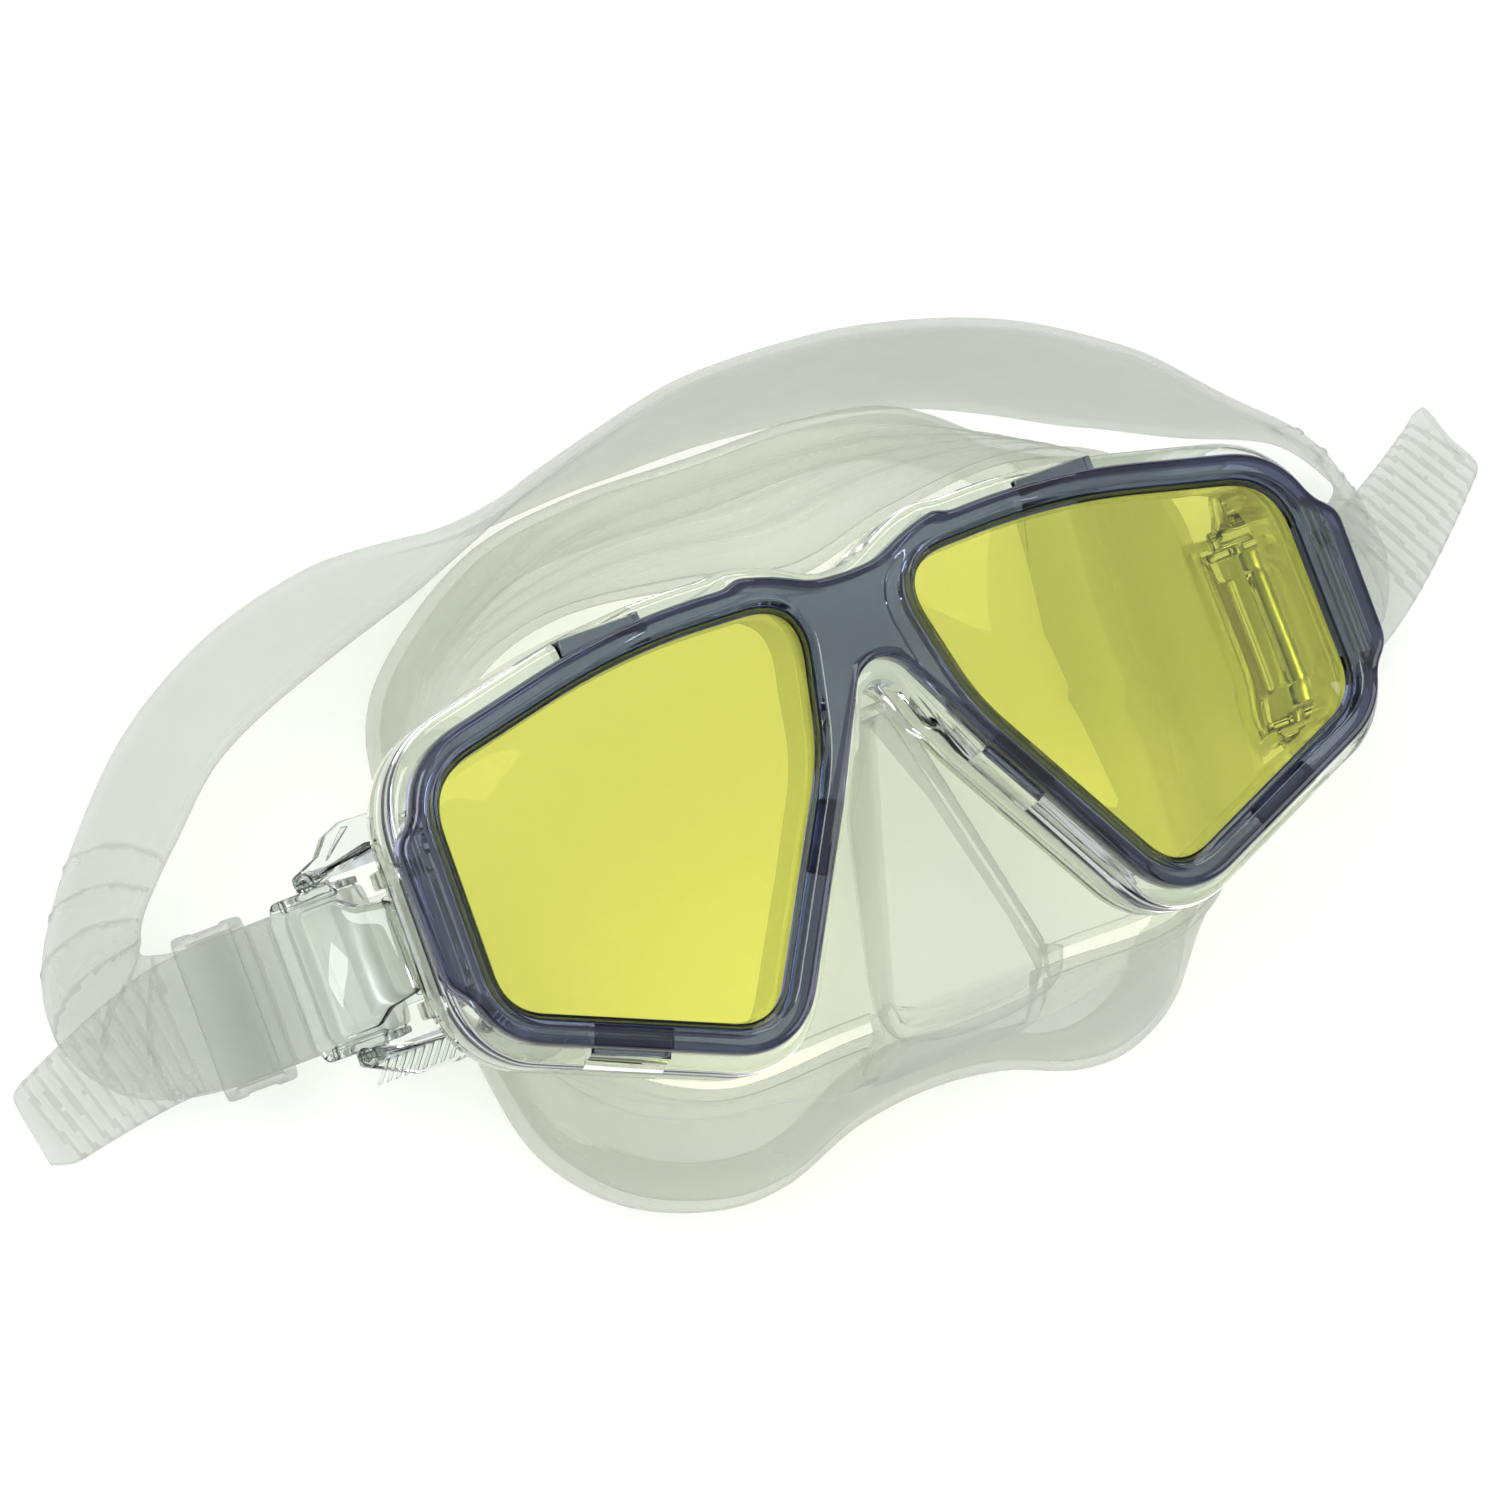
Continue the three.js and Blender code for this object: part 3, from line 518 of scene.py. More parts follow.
def skirt_solid(name, wall, rings):
    """Closed loft through (radii, heights) rings from the floor up, with the forehead's folds in it."""
    n = len(SKIRT_ANGLES)
    stack = np.array([np.column_stack((r[:, None] * SKIRT_RAYS, h)) for r, h in rings])
    path = catmull(stack.reshape(len(rings), -1), False, 14).reshape(-1, n, 3)
    along = np.gradient(path, axis=0)
    slope = np.stack((np.linalg.norm(along[..., :2], axis=-1) * np.sign((along[..., :2] * SKIRT_RAYS).sum(-1)),
                      along[..., 2]), -1)
    slope = slope / np.linalg.norm(slope, axis=-1, keepdims=True)
    outward = np.concatenate((SKIRT_RAYS[None] * slope[..., 1:2], -slope[..., 0:1]), -1)
    brow = smooth_step(SKIRT_RAYS[:, 1], 0.35, 0.72)
    z = path[..., 2]
    gather = 1 - 0.6 * SKIRT_RAYS[:, 0] ** 2   # the folds draw together towards both temples
    folds = sum(np.exp(-((z - 41 + (41 - level) * gather) / 1.6) ** 2) for level in (18.5, 24.5, 30.5, 36.5))
    path = path + outward * (folds * brow * (0.95 if wall == 0 else 0.3))[..., None]
    if not wall:
        cheek = SKIRT_ANGLES / math.pi * 180 - 270
        ledge = 33.5 + 6.5 * np.cos(np.clip((np.abs(cheek) - 42) / 26, -1, 1) * math.pi / 2)
        rise = np.exp(-((z - ledge) / 1.1) ** 2) * smooth_step(np.abs(cheek), 12, 24)
        rise = rise * (1 - smooth_step(np.abs(cheek), 62, 74))
        path = path + outward * (0.9 * rise)[..., None]
    verts = path.reshape(-1, 3)
    faces = lofted(list(path))
    faces += [tuple(range(n)), tuple(range(len(verts) - n, len(verts)))]
    return piece(name, verts, faces, SKIRT)


def skirt_rings(wall):
    """Radii and heights of the skirt's rings from the face seal up, outside for wall 0, else inside."""
    top, waist, rim = (skirt_radii(half) for half in (SKIRT_TOP, SKIRT_WAIST, SKIRT_RIM))
    lift = smooth_step(np.abs(np.sin(SKIRT_ANGLES)), 0.45, 1.0)
    edge = np.where(np.sin(SKIRT_ANGLES) > 0, 14.0, 16.0) * lift
    swell = 1.2 - 1.6 * smooth_step(np.abs(np.cos(SKIRT_ANGLES)), 0.78, 0.94)    # none beside the buckles
    low = 0.2 * waist + 0.8 * rim + 1
    middle = 0.45 * waist + 0.55 * rim + swell
    high = 0.75 * waist + 0.25 * rim + 0.75 * swell
    level = np.ones(len(edge))
    half = (44 + edge) / 2 - 2
    if not wall:
        return [(rim - 2, edge), (rim - 0.5, edge + 0.6), (rim, edge + 2), (low, (edge + half) / 2),
                (middle, half), (high, (half + 44) / 2 + 1), (waist, 44 * level), (waist + 0.2, 45.8 * level),
                (waist * 0.35 + top * 0.65, 47.1 * level), (top - 0.3, 47.6 * level),
                (top, 48.2 * level), (top, 49.6 * level)]
    return [(rim - 9, -10 * level), (rim - 9, edge + 1.3), (rim - 7.5, edge + 1.9), (rim - wall, edge + 4.5),
            (low - wall, (edge + half) / 2), (middle - wall, half), (high - wall, (half + 44) / 2 + 1),
            (waist - wall, 44 * level), (waist - wall, 47.2 * level)]


def hull(name, points):
    bm = bmesh.new()
    for p in points:
        bm.verts.new(((np.array(p) - CENTRE) * MM).tolist())
    found = bmesh.ops.convex_hull(bm, input=bm.verts)
    loose = [v for v in found["geom_interior"] if isinstance(v, bmesh.types.BMVert)]
    bmesh.ops.delete(bm, geom=loose, context="VERTS")
    mesh = bpy.data.meshes.new(name)
    bm.to_mesh(mesh)
    bm.free()
    obj = bpy.data.objects.new(name, mesh)
    bpy.context.scene.collection.objects.link(obj)
    apply_modifier(obj, "BEVEL", width=1.8 * MM, segments=5, limit_method="NONE")
    return obj


def nose_pocket(name, inset):
    points = []
    for half, y, z in NOSE:
        for side in (1, -1):
            points.append((side * (half - inset * 0.8), y - inset if y > 0 else y + inset * 0.4, z - inset))
    if inset:
        points += [(10, -36, 20), (-10, -36, 20), (8, -10, 36), (-8, -10, 36)]
    return hull(name, points)


def tube(name, points, radius, mat, sides=16):
    """A round tube with closed ends along a smooth line through points."""
    line = catmull(points, False, 8)
    along = np.gradient(line, axis=0)
    along /= np.linalg.norm(along, axis=1)[:, None]
    across = np.cross(along, (0, 0, 1.0))
    across /= np.linalg.norm(across, axis=1)[:, None]
    up = np.cross(across, along)
    a = np.linspace(0, 2 * math.pi, sides, endpoint=False)[:, None]
    rings = [p + radius * (np.cos(a) * x + np.sin(a) * y) for p, x, y in zip(line, across, up)]
    n = len(rings) * sides
    faces = lofted(rings) + [tuple(range(sides)), tuple(range(n - sides, n))]
    return piece(name, np.concatenate(rings), faces, mat)


def nose_lip():
    """The rolled fold along the lower edge of the nose pocket."""
    return tube("nose_lip", [(-16, -37, 55.2), (-14.2, -41.2, 54), (-8, -43.4, 53.2), (0, -44, 52.9),
                             (8, -43.4, 53.2), (14.2, -41.2, 54), (16, -37, 55.2)], 1.5, SKIRT)


def prism(name, offset, low, high, side):
    rings = [sight_ring(side, offset, z) for z in (low, high)]
    n = len(rings[0])
    faces = lofted(rings) + [tuple(range(n)), tuple(range(n, 2 * n))]
    return piece(name, np.concatenate(rings), faces, SKIRT)


def make_skirt():
    skirt = skirt_solid("skirt_soft", 0, skirt_rings(0))
    steps = [("UNION", nose_pocket("nose_out", 0)), ("UNION", nose_lip())]
    steps += [("UNION", prism("cup", 2.0, 48, 59.4, side)) for side in (1, -1)]
    steps += [("DIFFERENCE", skirt_solid("inside", SKIRT_WALL, skirt_rings(SKIRT_WALL)))]
    steps += [("DIFFERENCE", prism("eye", -0.6, 38, 61, side)) for side in (1, -1)]
    steps += [("DIFFERENCE", nose_pocket("nose_in", 1.9))]
    for operation, tool in steps:
        apply_modifier(skirt, "BOOLEAN", operation=operation, object=tool, solver="EXACT")
        remove(tool)
    shade(skirt, 42)
    return skirt


done(make_skirt(), "mask", ["skirt"])
# ---- strap ---------------------------------------------------------------------
HINGE = np.array((79.0, 42.5))                 # x, z of each hinge
FOLD = {"left": 34.0, "right": 78.0}           # rest angle of each buckle below the lens plane
SIDE = {"left": -1, "right": 1}
ROUTE = {                                      # straight runs and bends out from the hinge
    "left": {"runs": [(46, 0), (60, 15), (30, 0)], "keeper": 36.6, "tip": 75.0, "drift": -8.0},
    "right": {"runs": [(27, 0), (9, 74), (50, 0)], "keeper": 44.2, "tip": 91.6, "drift": 23.0},
}
ROLLER_U, BODY_LENGTH, HALF, KEEPER_LENGTH = 13.0, 24.0, 12.0, 10.5
BAND = [                                       # centre, half width, direction across the strap
    (-123.5, 2.2, 12.8, 12, 0.28, 0.9, 0.3), (-127, 8.5, 12, 12, 0.6, 0.5, 0.5),
    (-126.5, 16, 12.2, 12, 0.58, 0.15, 0.78), (-121.5, 24, 12.4, 12, 0.5, -0.1, 0.87),
    (-113, 33.5, 12.6, 12, 0.42, -0.3, 0.87), (-102, 44, 13, 12.5, 0.3, -0.4, 0.87),
    (-85, 53, 15.5, 15, 0.15, -0.45, 0.88), (-63, 59.5, 21, 20, 0.05, -0.3, 0.95),
    (-38, 63.5, 24.4, 23, 0, 0.02, 1), (-8, 68, 24.2, 23, 0, 0.15, 0.98),
    (22, 67.4, 24.2, 23, 0.03, 0.15, 0.98), (49, 61.6, 24, 22.5, 0.06, 0.1, 0.98),
    (76, 49.5, 19.5, 17.5, 0.1, 0.12, 0.98), (95, 39, 14.4, 13, 0.05, 0, 0.98),
    (111, 30, 13, 12, -0.3, -0.1, 0.9), (118, 18, 12, 12, -0.5, 0.15, 0.8),
    (118, 9, 9.6, 12, -0.5, 0.6, 0.5), (112.5, 2, 7, 12, -0.12, 0.98, 0.08),
]
CROWN = 9.5                                    # station where the two halves of the strap meet
STEP = 0.7                                     # spacing of the first stations along a doubled end
REJOIN = 8                                     # the lower strand turns into the head band this far past the keeper


def route_at(name, length):
    """Place, heading and normal of the doubled strap at a length out from the hinge."""
    side, (a, z), heading = SIDE[name], HINGE, -math.radians(FOLD[name])
    for size, turn in ROUTE[name]["runs"]:
        full = size * math.radians(turn) if turn else size
        part = min(length, full)
        if turn:
            after = heading + part / size
            a += size * (math.sin(after) - math.sin(heading))
            z += size * (math.cos(heading) - math.cos(after))
            heading = after
        else:
            a, z = a + part * math.cos(heading), z + part * math.sin(heading)
        length -= part
    along = np.array((side * math.cos(heading), 0, math.sin(heading)))
    normal = np.array((-side * math.sin(heading), 0, math.cos(heading)))
    return np.array((side * a, 0, z)), along, normal


def drift(name, length):
    route = ROUTE[name]
    start = route["keeper"] + KEEPER_LENGTH / 2 + 4
    t = min(max((length - start) / (route["tip"] - start), 0), 1)
    return route["drift"] * t ** 1.3


def station(name, length, offset, half):
    """One station of the doubled strap: its place, half width and direction across, square to the drift."""
    point, along, normal = route_at(name, length)
    place = point + normal * offset + (0, drift(name, length), 0)
    slope = drift(name, length + 0.5) - drift(name, length - 0.5)
    return (*place, half, *(np.array((0, 1, 0)) - along * slope))


def layer_gap(length):
    """Half the distance between the two layers of the doubled strap, wide round the roller."""
    return 3.0 + (1.25 - 3.0) * smooth_step(length, BODY_LENGTH, BODY_LENGTH + 6)


def band_stations(start, stop):
    """Head band stations, twelve to a span, between two station numbers."""
    centre = catmull([b[:3] for b in BAND], False, 12)
    rows = np.array(BAND)
    t = np.arange(len(centre)) / 12
    rest = np.stack([np.interp(t, np.arange(len(rows)), rows[:, i]) for i in range(3, 7)], 1)
    keep = (t >= min(start, stop) - 1e-6) & (t <= max(start, stop) + 1e-6)
    found = np.column_stack((centre, rest))[keep]
    return found if stop > start else found[::-1]


def blur(values, step, sigma):
    """Gaussian smoothing along the first axis, with the two ends held."""
    reach = int(3 * sigma / step) + 1
    weights = np.exp(-0.5 * (np.arange(-reach, reach + 1) * step / sigma) ** 2)
    weights /= weights.sum()
    before = 2 * values[:1] - values[reach:0:-1]
    after = 2 * values[-1:] - values[-2:-reach - 2:-1]
    padded = np.concatenate((before, values, after))
    return np.stack([np.convolve(padded[:, i], weights, "valid") for i in range(values.shape[1])], 1)


def taper(back):
    """Half width of the tail at a length back from its tip."""
    return float(np.interp(back, (0, 1.2, 3, 36), (5.6, 7.4, 8.0, HALF)))


def strap_line(name):
    """Evenly spaced stations from the tail's tip, round the roller and along the band to the crown.
    Returns them with their lengths and the lengths of the U-turn and of the band's start."""
    route = ROUTE[name]
    tip, keeper = route["tip"], route["keeper"]
    rows = [station(name, s, layer_gap(s), taper(tip - s)) for s in np.arange(tip, ROLLER_U, -STEP)]
    for k in range(1, 18):
        a = math.pi * k / 18
        rows.append(station(name, ROLLER_U - 3 * math.sin(a), 3 * math.cos(a), HALF))
    rows += [station(name, s, -layer_gap(s), HALF) for s in np.arange(ROLLER_U, keeper + REJOIN, STEP)]
    turn, start = len(rows) - 1, (0, CROWN) if name == "left" else (len(BAND) - 1, CROWN)
    rows = np.concatenate((np.array(rows), band_stations(*start)))
    walked = np.concatenate(([0], np.cumsum(np.linalg.norm(np.diff(rows[:, :3], axis=0), axis=1))))
    s = np.linspace(0, walked[-1], int(walked[-1] / 0.62))
    even = np.stack([np.interp(s, walked, rows[:, i]) for i in range(7)], 1)
    soft = blur(even, s[1], 2.6)
    blend = smooth_step(s, walked[turn] - 8, walked[turn] - 2)[:, None]
    fine = blur(even, s[1], 0.7)
    return fine * (1 - blend) + soft * blend, s, walked[turn]


def strap_half(name):
    """One side's strap as two pieces: the doubled end with its tail, and its half of the head band."""
    rows, s, band_from = strap_line(name)
    side = SIDE[name]
    centre, half, across = rows[:, :3], rows[:, 3], rows[:, 4:]
    across = across / np.linalg.norm(across, axis=1)[:, None]
    along = np.gradient(centre, axis=0)
    face = np.cross(along, across)
    face = face / np.linalg.norm(face, axis=1)[:, None]
    out_face = -side * face                    # the toothed side: outside on the tail
    w = np.concatenate((-1 + 0.12 * (1 - np.cos(np.linspace(0, math.pi / 2, 6))), np.linspace(-0.83, 0.83, 19),
                        1 - 0.12 * (1 - np.cos(np.linspace(math.pi / 2, 0, 6)))))
    edge = np.abs(w) * half[:, None] - (half[:, None] - 1.1)
    thin = np.sqrt(np.clip(1 - np.clip(edge / 1.1, 0, 1) ** 2, 0, 1))
    bead = 0.22 * np.exp(-((edge + 1.6) / 0.9) ** 2)
    thick = (1.0 + bead) * thin
    place = s[:, None]
    tooth = np.zeros_like(thick)
    tip_teeth = [3.2 + 2.6 * k for k in range(11)]
    for s0 in tip_teeth:
        tooth += 0.42 * np.exp(-((place - s0 - 0.9 * w ** 2) / 0.4) ** 2)
    back = ROUTE[name]["tip"] - ROUTE[name]["keeper"] + KEEPER_LENGTH / 2
    for s0, rise in ((back + 3.6, 0.34), (back + 8.0, 0.3)):
        tooth += rise * np.exp(-((place - s0) / 0.7) ** 2)
    ribs = np.zeros_like(thick)
    for k in range(6):
        s0 = band_from + 7 + 7.2 * k
        ribs += 0.48 * np.exp(-((place - s0 + 3.0 * w ** 2) / 0.48) ** 2)
    fade = np.clip(thin, 0, 1)
    upper = thick + tooth * fade
    lower = thick + ribs * fade
    flat = centre[:, None] + across[:, None] * (w * half[:, None])[..., None]
    top = flat + out_face[:, None] * upper[..., None]
    low = flat - out_face[:, None] * lower[..., None]
    rings = np.concatenate((top, low[:, -2:0:-1]), axis=1)
    cut = int(np.searchsorted(s, band_from - REJOIN))     # inside the keeper
    tail, band = rings[:cut + 1], rings[cut:]             # both left open where they meet the next piece
    painted_rib_shade = np.concatenate((tooth, ribs[:, -2:0:-1]), axis=1) > 0.14         # teeth and ribs get darker, milkier silicone: painted shade that makes them stand out, and the thicker silicone there is milkier too
    tip_face = tuple(range(rings.shape[1]))
    pieces = (piece("strap_tail_" + name, tail.reshape(-1, 3), lofted(list(tail)) + [tip_face], STRAP, 60),
              piece("strap_" + name, band.reshape(-1, 3), lofted(list(band)), STRAP, 60))
    for obj, flags in zip(pieces, (painted_rib_shade[:cut], painted_rib_shade[cut:-1])):
        obj.data.materials.append(STRAP_RIB_PAINTED_SHADE)
        index = np.zeros(len(obj.data.polygons), dtype=np.int32)
        index[:flags.size] = flags.ravel()
        obj.data.polygons.foreach_set("material_index", index)
    return pieces


for strap_side, middle in (("left", -115), ("right", 108)):
    strap_tail, strap = strap_half(strap_side)
    done(strap_tail, strap_side + "_buckle", ["strap_%s_end" % strap_side])
    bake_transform(strap)
    if strap_side == "left":
        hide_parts("strap_band")


# ---- buckles -------------------------------------------------------------------
def buckle_frame(name):
    """Origin and axes of a buckle: u out along the strap, v across it, n its outer face."""
    side, a = SIDE[name], math.radians(FOLD[name])
    u = np.array((side * math.cos(a), 0, -math.sin(a)))
    v = np.array((0, side, 0))
    n = np.array((side * math.sin(a), 0, math.cos(a)))
    return np.array((side * HINGE[0], 0, HINGE[1])), np.array((u, v, n))


def slab(outline, low, high, edge=0.45):
    """A rounded-edge slab over an outline in (u, v), between two n levels."""
    steps = [(edge, low), (0.3 * edge, low + 0.1 * edge), (0.0, low + edge)]
    rings = []
    for inset, n in steps + [(i, low + high - z) for i, z in steps[::-1]]:
        rings.append(np.column_stack((shrink(outline, inset), np.full(len(outline), n))))
    count = len(outline)
    faces = lofted(rings) + [tuple(range(count)), tuple(range(5 * count, 6 * count))]
    return np.concatenate(rings), faces


def rod(radius, v0, v1, u=0.0, n=0.0, edge=0.3, sides=40, axis=1):
    """A round bar with softened ends, along v, or along n when axis is 2."""
    a = np.linspace(0, 2 * math.pi, sides, endpoint=False)
    rings = []
    for r, at in ((radius - edge, v0), (radius, v0 + edge), (radius, v1 - edge), (radius - edge, v1)):
        disc = [r * np.cos(a), r * np.sin(a)]
        level = np.full(sides, at)
        rounds = (u + disc[0], level, n + disc[1]) if axis == 1 else (u + disc[0], n + disc[1], level)
        rings.append(np.column_stack(rounds))
    faces = lofted(rings) + [tuple(range(sides)), tuple(range(3 * sides, 4 * sides))]
    return np.concatenate(rings), faces


def box_outline(u0, u1, v0, v1, radius=0.8):
    return rounded([(u0, v0, radius), (u1, v0, radius), (u1, v1, radius), (u0, v1, radius)], 4)


def local_piece(name, side_name, shapes, mat, angle=38.0):
    origin, axes = buckle_frame(side_name)
    verts, faces = [], []
    for points, quads in shapes:
        faces += [tuple(i + len(verts) for i in q) for q in quads]
        verts += list(origin + np.asarray(points) @ axes)
    return piece(name, verts, faces, mat, angle)


def buckle_body(name):
    plate_line = rounded([(3, -9.2, 0.6), (11, -9.2, 1), (12, -13.7, 1), (24, -13.7, 1.2), (24, 13.7, 1.2),
                          (12, 13.7, 1), (11, 9.2, 1), (3, 9.2, 0.6)], 4)
    bar = rounded([(20.6, -13.7, 1), (22.8, -13.7, 1.4), (24.2, -10.6, 1.4), (24.2, 10.6, 1.4), (22.8, 13.7, 1.4),
                   (20.6, 13.7, 1), (20.6, 11.2, 0.8), (21.4, 9.6, 1), (21.4, -9.6, 1), (20.6, -11.2, 0.8)], 5)
    shapes = [slab(plate_line, -5.6, -4.3, 0.4), slab(bar, 3.7, 6.2, 0.6)]
    shapes += [rod(2.9, -9.2, 9.2, edge=0.7), slab(box_outline(0.2, 4.4, -9.0, 9.0), -5.4, -1.9)]
    for s in (-1, 1):
        wall = box_outline(11, 23.2, min(s * 12.25, s * 13.6), max(s * 12.25, s * 13.6), 0.5)
        arm = rounded([(11.2, s * 11.4, 0.8), (21.6, s * 11.4, 0.8), (21.6, s * 13.7, 0.8),
                       (12.8, s * 13.7, 0.8)], 4)
        shapes += [slab(wall, -5.3, 4.4, 0.3), slab(arm, 4.1, 5.8, 0.4)]
        shapes += [slab(box_outline(15.6, 18.4, min(s * 13, s * 15.8), max(s * 13, s * 15.8)), -5.6, -3.9, 0.3)]
        shapes += [rod(0.8, -4.1, 2.9, 17, s * 14.8, 0.15, 24, axis=2)]
    return local_piece(name + "_buckle_shell", name, shapes, CLEAR)


def buckle_cover(name):
    """A softly crowned clear window over the roller."""
    outline = rounded([(3.4, -7.6, 2.0), (9.5, -8.8, 3), (12.2, -10.8, 3), (19.6, -10.8, 1.6), (19.6, 10.8, 1.6),
                       (12.2, 10.8, 3), (9.5, 8.8, 3), (3.4, 7.6, 2.0)], 7)
    middle = outline.mean(0)
    rings = []
    for share, drop, level in ((0.97, 0, 4.55), (1.0, 0, 4.75), (1.0, 1.3, None), (0.985, 0.9, None),
                               (0.955, 0.6, None), (0.9, 0.28, None), (0.84, 0.1, None), (0.78, 0, None),
                               (0.6, 0, None),
                               (0.4, 0, None), (0.2, 0, None), (0.03, 0, None)):
        ring = middle + (outline - middle) * share
        crown = 6.15 + 0.95 * np.cos((ring[:, 0] - 11.5) / 9 * math.pi / 2) ** 2 - 0.25 * (ring[:, 1] / 10.8) ** 2
        rings.append(np.column_stack((ring, crown - drop if level is None else np.full(len(ring), level))))
    count = len(outline)
    faces = lofted(rings) + [tuple(range(count)), tuple(range((len(rings) - 1) * count, len(rings) * count))]
    frame_ring = slab(box_outline(3.0, 5.2, -8.4, 8.4, 0.9), 4.0, 5.7, 0.4)
    return local_piece(name + "_cover_window", name, [(np.concatenate(rings), faces), frame_ring], CLEAR, 50)


def squeeze_button(name, place):
    edge = SIDE[name] if place == "upper" else -SIDE[name]
    if place == "upper":
        corners = [(1.9, -0.6, 0.8), (1.9, 1.6, 1), (-2.6, 3.4, 2), (-5, 6.2, 2), (-8.5, 7.6, 2), (-15, 7.2, 2.5),
                   (-18.6, 4.4, 2), (-19, 1.2, 1), (-12, 2.0, 2), (-7, 0.9, 1), (-1.9, -0.8, 0.8)]
        low, high = -2.2, 3.8
    else:
        corners = [(1.9, -0.6, 0.8), (1.9, 1.2, 1), (-2.6, 3.4, 2), (-6.5, 5.4, 2.5), (-13.5, 5.8, 3),
                   (-18.3, 3.8, 2.5),
                   (-19, 0.8, 1), (-7, 0.3, 1), (-1.9, -0.8, 0.8)]
        low, high = -3.4, 3.6
    outline = rounded([(17 + x, edge * (14.8 + y), r) for x, y, r in corners], 6)
    shapes = [slab(outline, low, high, 0.9), rod(1.75, -3.3, 3.4, 17, edge * 14.8, 0.3, 28, axis=2)]
    if place == "lower":
        for k in range(9):                     # fine grip ribs, slanting across the pad's face
            u, slant = 1.0 + 1.6 * k, 0.8
            a, b = np.array((u, edge * 16.2)), np.array((u + 3.4 * slant, edge * 19.6))
            wide = np.array((0.42, 0))
            quad = np.array((a - wide, a + wide, b + wide, b - wide))
            shapes.append(slab(quad, high - 0.3, high + 0.28, 0.2))
    else:
        rib = [(17 - 6.0, edge * 17.6), (17 - 4.9, edge * 17.2), (17 - 9.4, edge * 21.4), (17 - 10.4, edge * 21.0)]
        shapes.append(slab(np.array(rib), high - 0.4, high + 0.5, 0.25))
    return local_piece("%s_%s_paddle" % (name, place), name, shapes, CLEAR)


def keeper_loop(name):
    route = ROUTE[name]
    point, along, normal = route_at(name, route["keeper"])
    point = point + (0, drift(name, route["keeper"]), 0)
    axes = np.array((along, np.cross(normal, along), normal))
    rings = []
    tall, wide = 1.25 + 1.0 + 0.4, HALF + 0.5
    outer = rounded([(-wide - 1.6, -tall - 1.5, 2.2), (wide + 1.6, -tall - 1.5, 2.2), (wide + 1.6, tall + 1.5, 2.2),
                     (-wide - 1.6, tall + 1.5, 2.2)], 8)
    inner = rounded([(-wide, -tall, 0.9), (wide, -tall, 0.9), (wide, tall, 0.9), (-wide, tall, 0.9)], 8)
    half = KEEPER_LENGTH / 2
    profile = [(inner, 0.0, -half + 0.5), (inner, -0.4, -half), (outer, 0.45, -half), (outer, 0.1, -half + 0.15),
               (outer, 0.0, -half + 0.6), (outer, 0.0, -half + 1.6), (outer, 0.35, -half + 2.0),
               (outer, 0.35, half - 2.0), (outer, 0.0, half - 1.6), (outer, 0.0, half - 0.6),
               (outer, 0.1, half - 0.15), (outer, 0.45, half),
               (inner, -0.4, half), (inner, 0.0, half - 0.5)]
    for line, inset, at in profile:
        rings.append(np.column_stack((np.full(len(line), at), shrink(line, inset))))
    rings.append(rings[0])
    verts = point + np.concatenate(rings) @ axes
    return piece(name + "_keeper_loop", verts, lofted(rings), KEEPER, 50)


for side_name in ("left", "right"):
    done(buckle_body(side_name), side_name + "_buckle", [side_name + "_buckle_body"])
    done(buckle_cover(side_name), side_name + "_buckle", [side_name + "_buckle_cover"])
    for button_place in ("upper", "lower"):
        done(squeeze_button(side_name, button_place), "%s_%s_squeeze" % (side_name, button_place),
             ["%s_%s_button" % (side_name, button_place)])
    done(keeper_loop(side_name), side_name + "_keeper", [side_name + "_strap_keeper"])
    roller = local_piece(side_name + "_guide_roller", side_name,
                         [rod(1.7, -12.1, 12.1, ROLLER_U, edge=0.35),
                          rod(0.9, -13.5, 13.5, ROLLER_U, edge=0.2)], STEEL)
    done(roller, side_name + "_roller", [side_name + "_strap_roller"])
    pin = local_piece(side_name + "_pin_smooth", side_name, [rod(1.2, -12.5, 12.5, edge=0.3)], STEEL)
    done(pin, "mask", [side_name + "_hinge_pin"])
    for node, mat, width in (("_strap_pawl", CLEAR, 0.25), ("_button_spring", STEEL, 0.2)):
        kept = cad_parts[side_name + node]
        kept.data.materials.clear()
        kept.data.materials.append(mat)
        bevel = kept.modifiers.new("soft_edges", "BEVEL")
        bevel.width, bevel.segments, bevel.limit_method = width * MM, 2, "ANGLE"
        bevel.angle_limit = math.radians(35)


# ---- camera, floor and light -------------------------------------------------
def make_camera():
    """Long lens from above and to the left of the mask, rolled so that the mask tilts in view."""
    towards = Vector((-0.376, -0.0175, 0.9265)).normalized()
    right0, up0 = Vector((0.927, 0, 0.376)), Vector((-0.007, 0.9998, 0.016))
    roll = math.radians(20.43)
    right = right0 * math.cos(roll) - up0 * math.sin(roll)
    up = right0 * math.sin(roll) + up0 * math.cos(roll)
    target = Vector((-0.0005, 0.0008, 0.064))
    place = target + towards * 0.9
    aim = target + (right * -144.86 + up * -32.58) / 6.1553 * MM
    back = (place - aim).normalized()
    right = (right - back * right.dot(back)).normalized()
    camera = bpy.data.cameras.new("camera")
    camera.lens, camera.sensor_width = 133.0, 36.0
    camera.clip_start, camera.clip_end = 0.05, 20.0
    obj = bpy.data.objects.new("camera", camera)
    bpy.context.scene.collection.objects.link(obj)
    turn = Matrix((right, back.cross(right), back)).transposed().to_4x4()
    obj.matrix_world = Matrix.Translation(place) @ turn
    bpy.context.scene.camera = obj


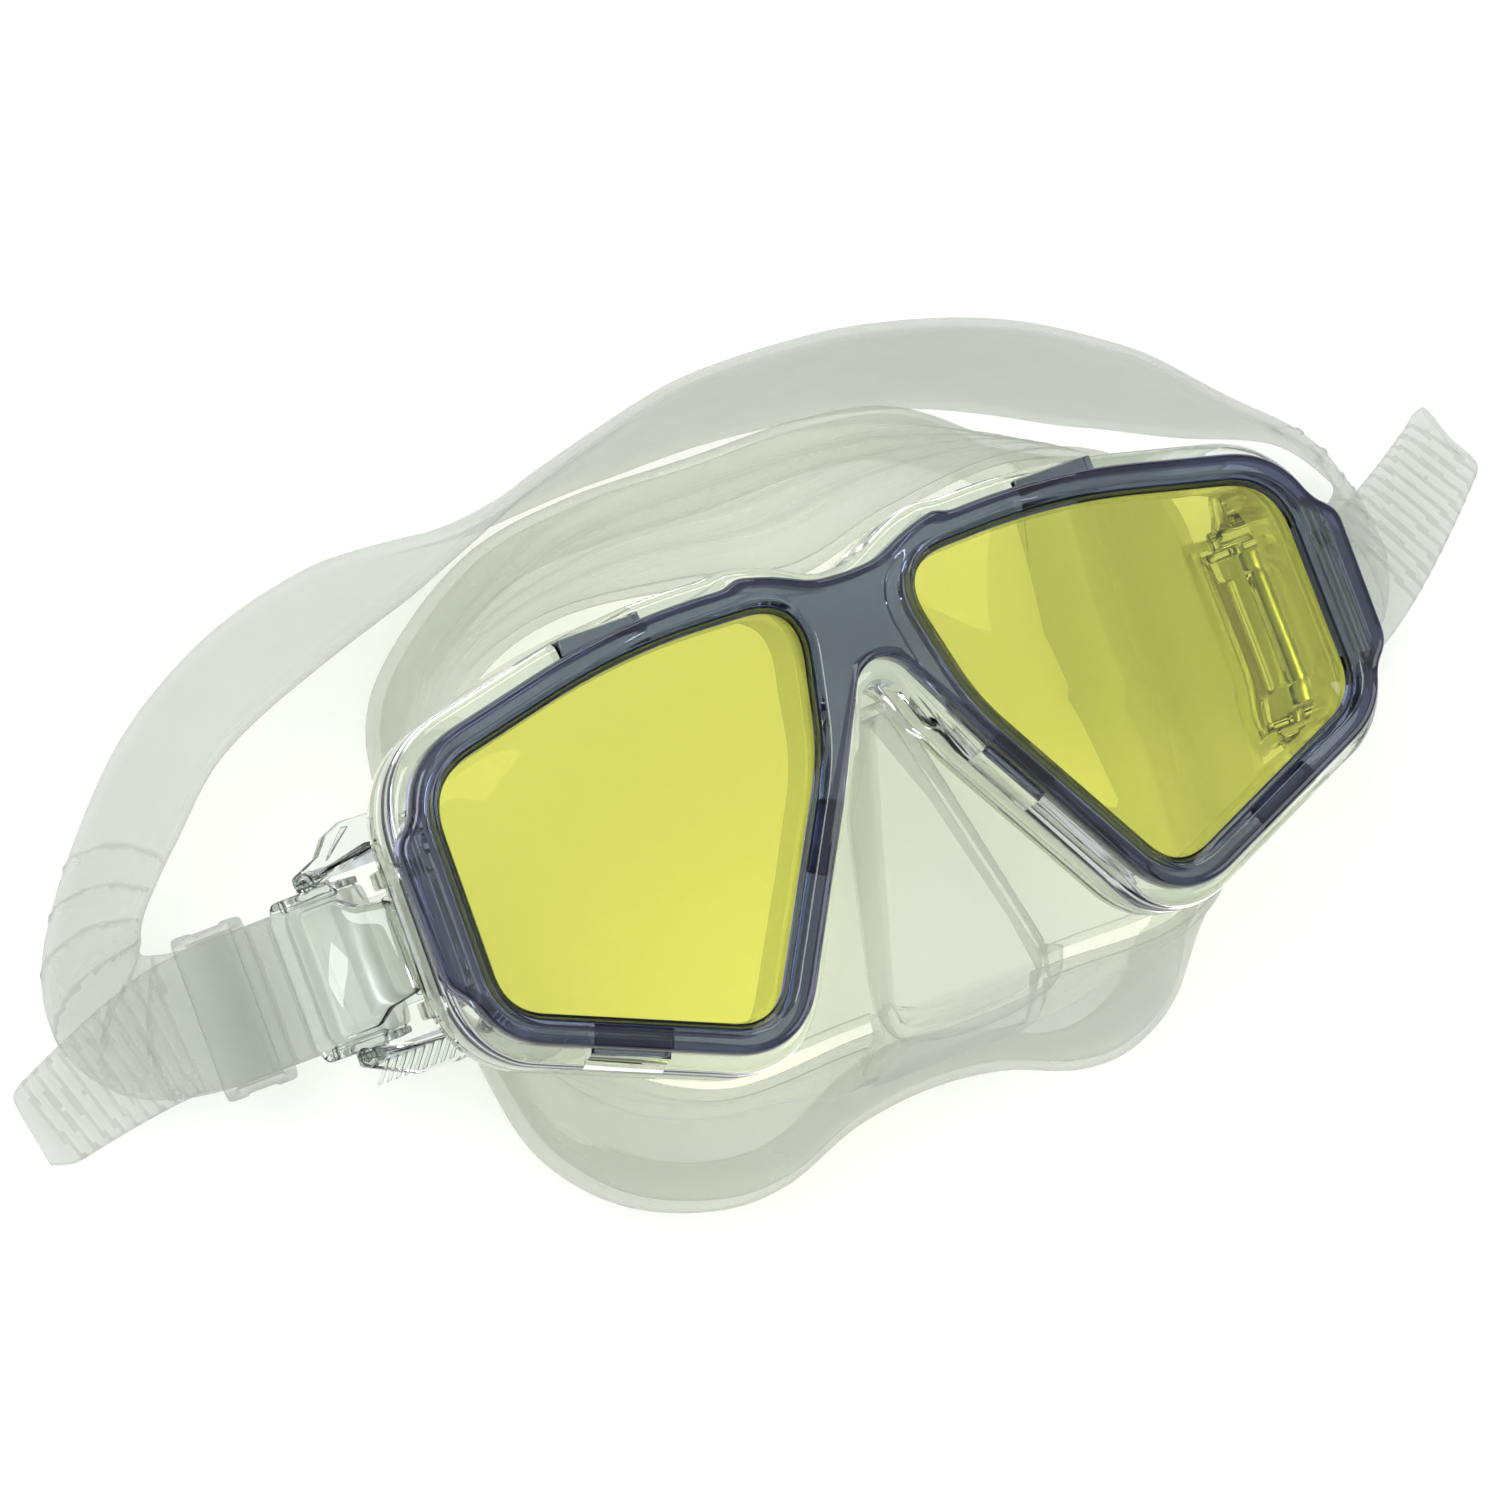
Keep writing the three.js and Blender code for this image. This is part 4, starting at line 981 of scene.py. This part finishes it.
def make_floor():
    mat, nt, out = new_material("studio_floor")
    shader = nt.nodes.new("ShaderNodeBsdfPrincipled")
    shader.inputs["Roughness"].default_value = 0.9
    shader.inputs["Specular IOR Level"].default_value = 0.1
    cloud = ramp(nt, noise(nt, 3.0), [(0.3, (0.93, 0.93, 0.93)), (0.7, (0.95, 0.95, 0.95))])
    nt.links.new(cloud, shader.inputs["Base Color"])
    nt.links.new(shader.outputs[0], out.inputs["Surface"])
    bpy.ops.mesh.primitive_plane_add(size=6.0, location=(0, 0, -0.0004))
    floor = bpy.context.object
    floor.name = "studio_floor"
    floor.data.materials.append(mat)


def area_light(name, place, size, power, colour=(1, 1, 1)):
    light = bpy.data.lights.new(name, "AREA")
    light.shape, light.size, light.size_y = "RECTANGLE", size[0], size[1]
    light.energy, light.color = power, colour
    obj = bpy.data.objects.new(name, light)
    bpy.context.scene.collection.objects.link(obj)
    obj.location = place
    obj.rotation_euler = (-Vector(place)).to_track_quat("-Z", "Y").to_euler()


def make_world():
    world = bpy.data.worlds.new("studio")
    world.use_nodes = True
    nt = world.node_tree
    back = nt.nodes["Background"]
    coord = nt.nodes.new("ShaderNodeTexCoord")
    split = nt.nodes.new("ShaderNodeSeparateXYZ")
    nt.links.new(coord.outputs["Generated"], split.inputs[0])
    sky = ramp(nt, split.outputs["Z"], [(0.0, (0.10, 0.11, 0.12)), (0.25, (0.25, 0.26, 0.27)),
                                        (0.55, (0.85, 0.86, 0.87)), (1.0, (1.0, 1.0, 1.0))])
    nt.links.new(sky, back.inputs["Color"])
    back.inputs["Strength"].default_value = 0.75
    bpy.context.scene.world = world


make_camera()
make_floor()
make_world()
area_light("key", (-0.7, 0.5, 1.3), (0.9, 0.6), 13.0)
area_light("fill", (1.0, -0.6, 0.9), (0.8, 0.8), 6.0)
area_light("rim", (0.3, 1.3, 0.5), (1.0, 0.3), 5.0)
bpy.context.scene.view_settings.view_transform = "Standard"
bpy.context.scene.cycles.transparent_max_bounces = 24
bpy.context.scene.cycles.max_bounces = 12
bpy.context.scene.cycles.transmission_bounces = 12
bpy.context.scene.cycles.diffuse_bounces = 3
bpy.context.scene.cycles.glossy_bounces = 4
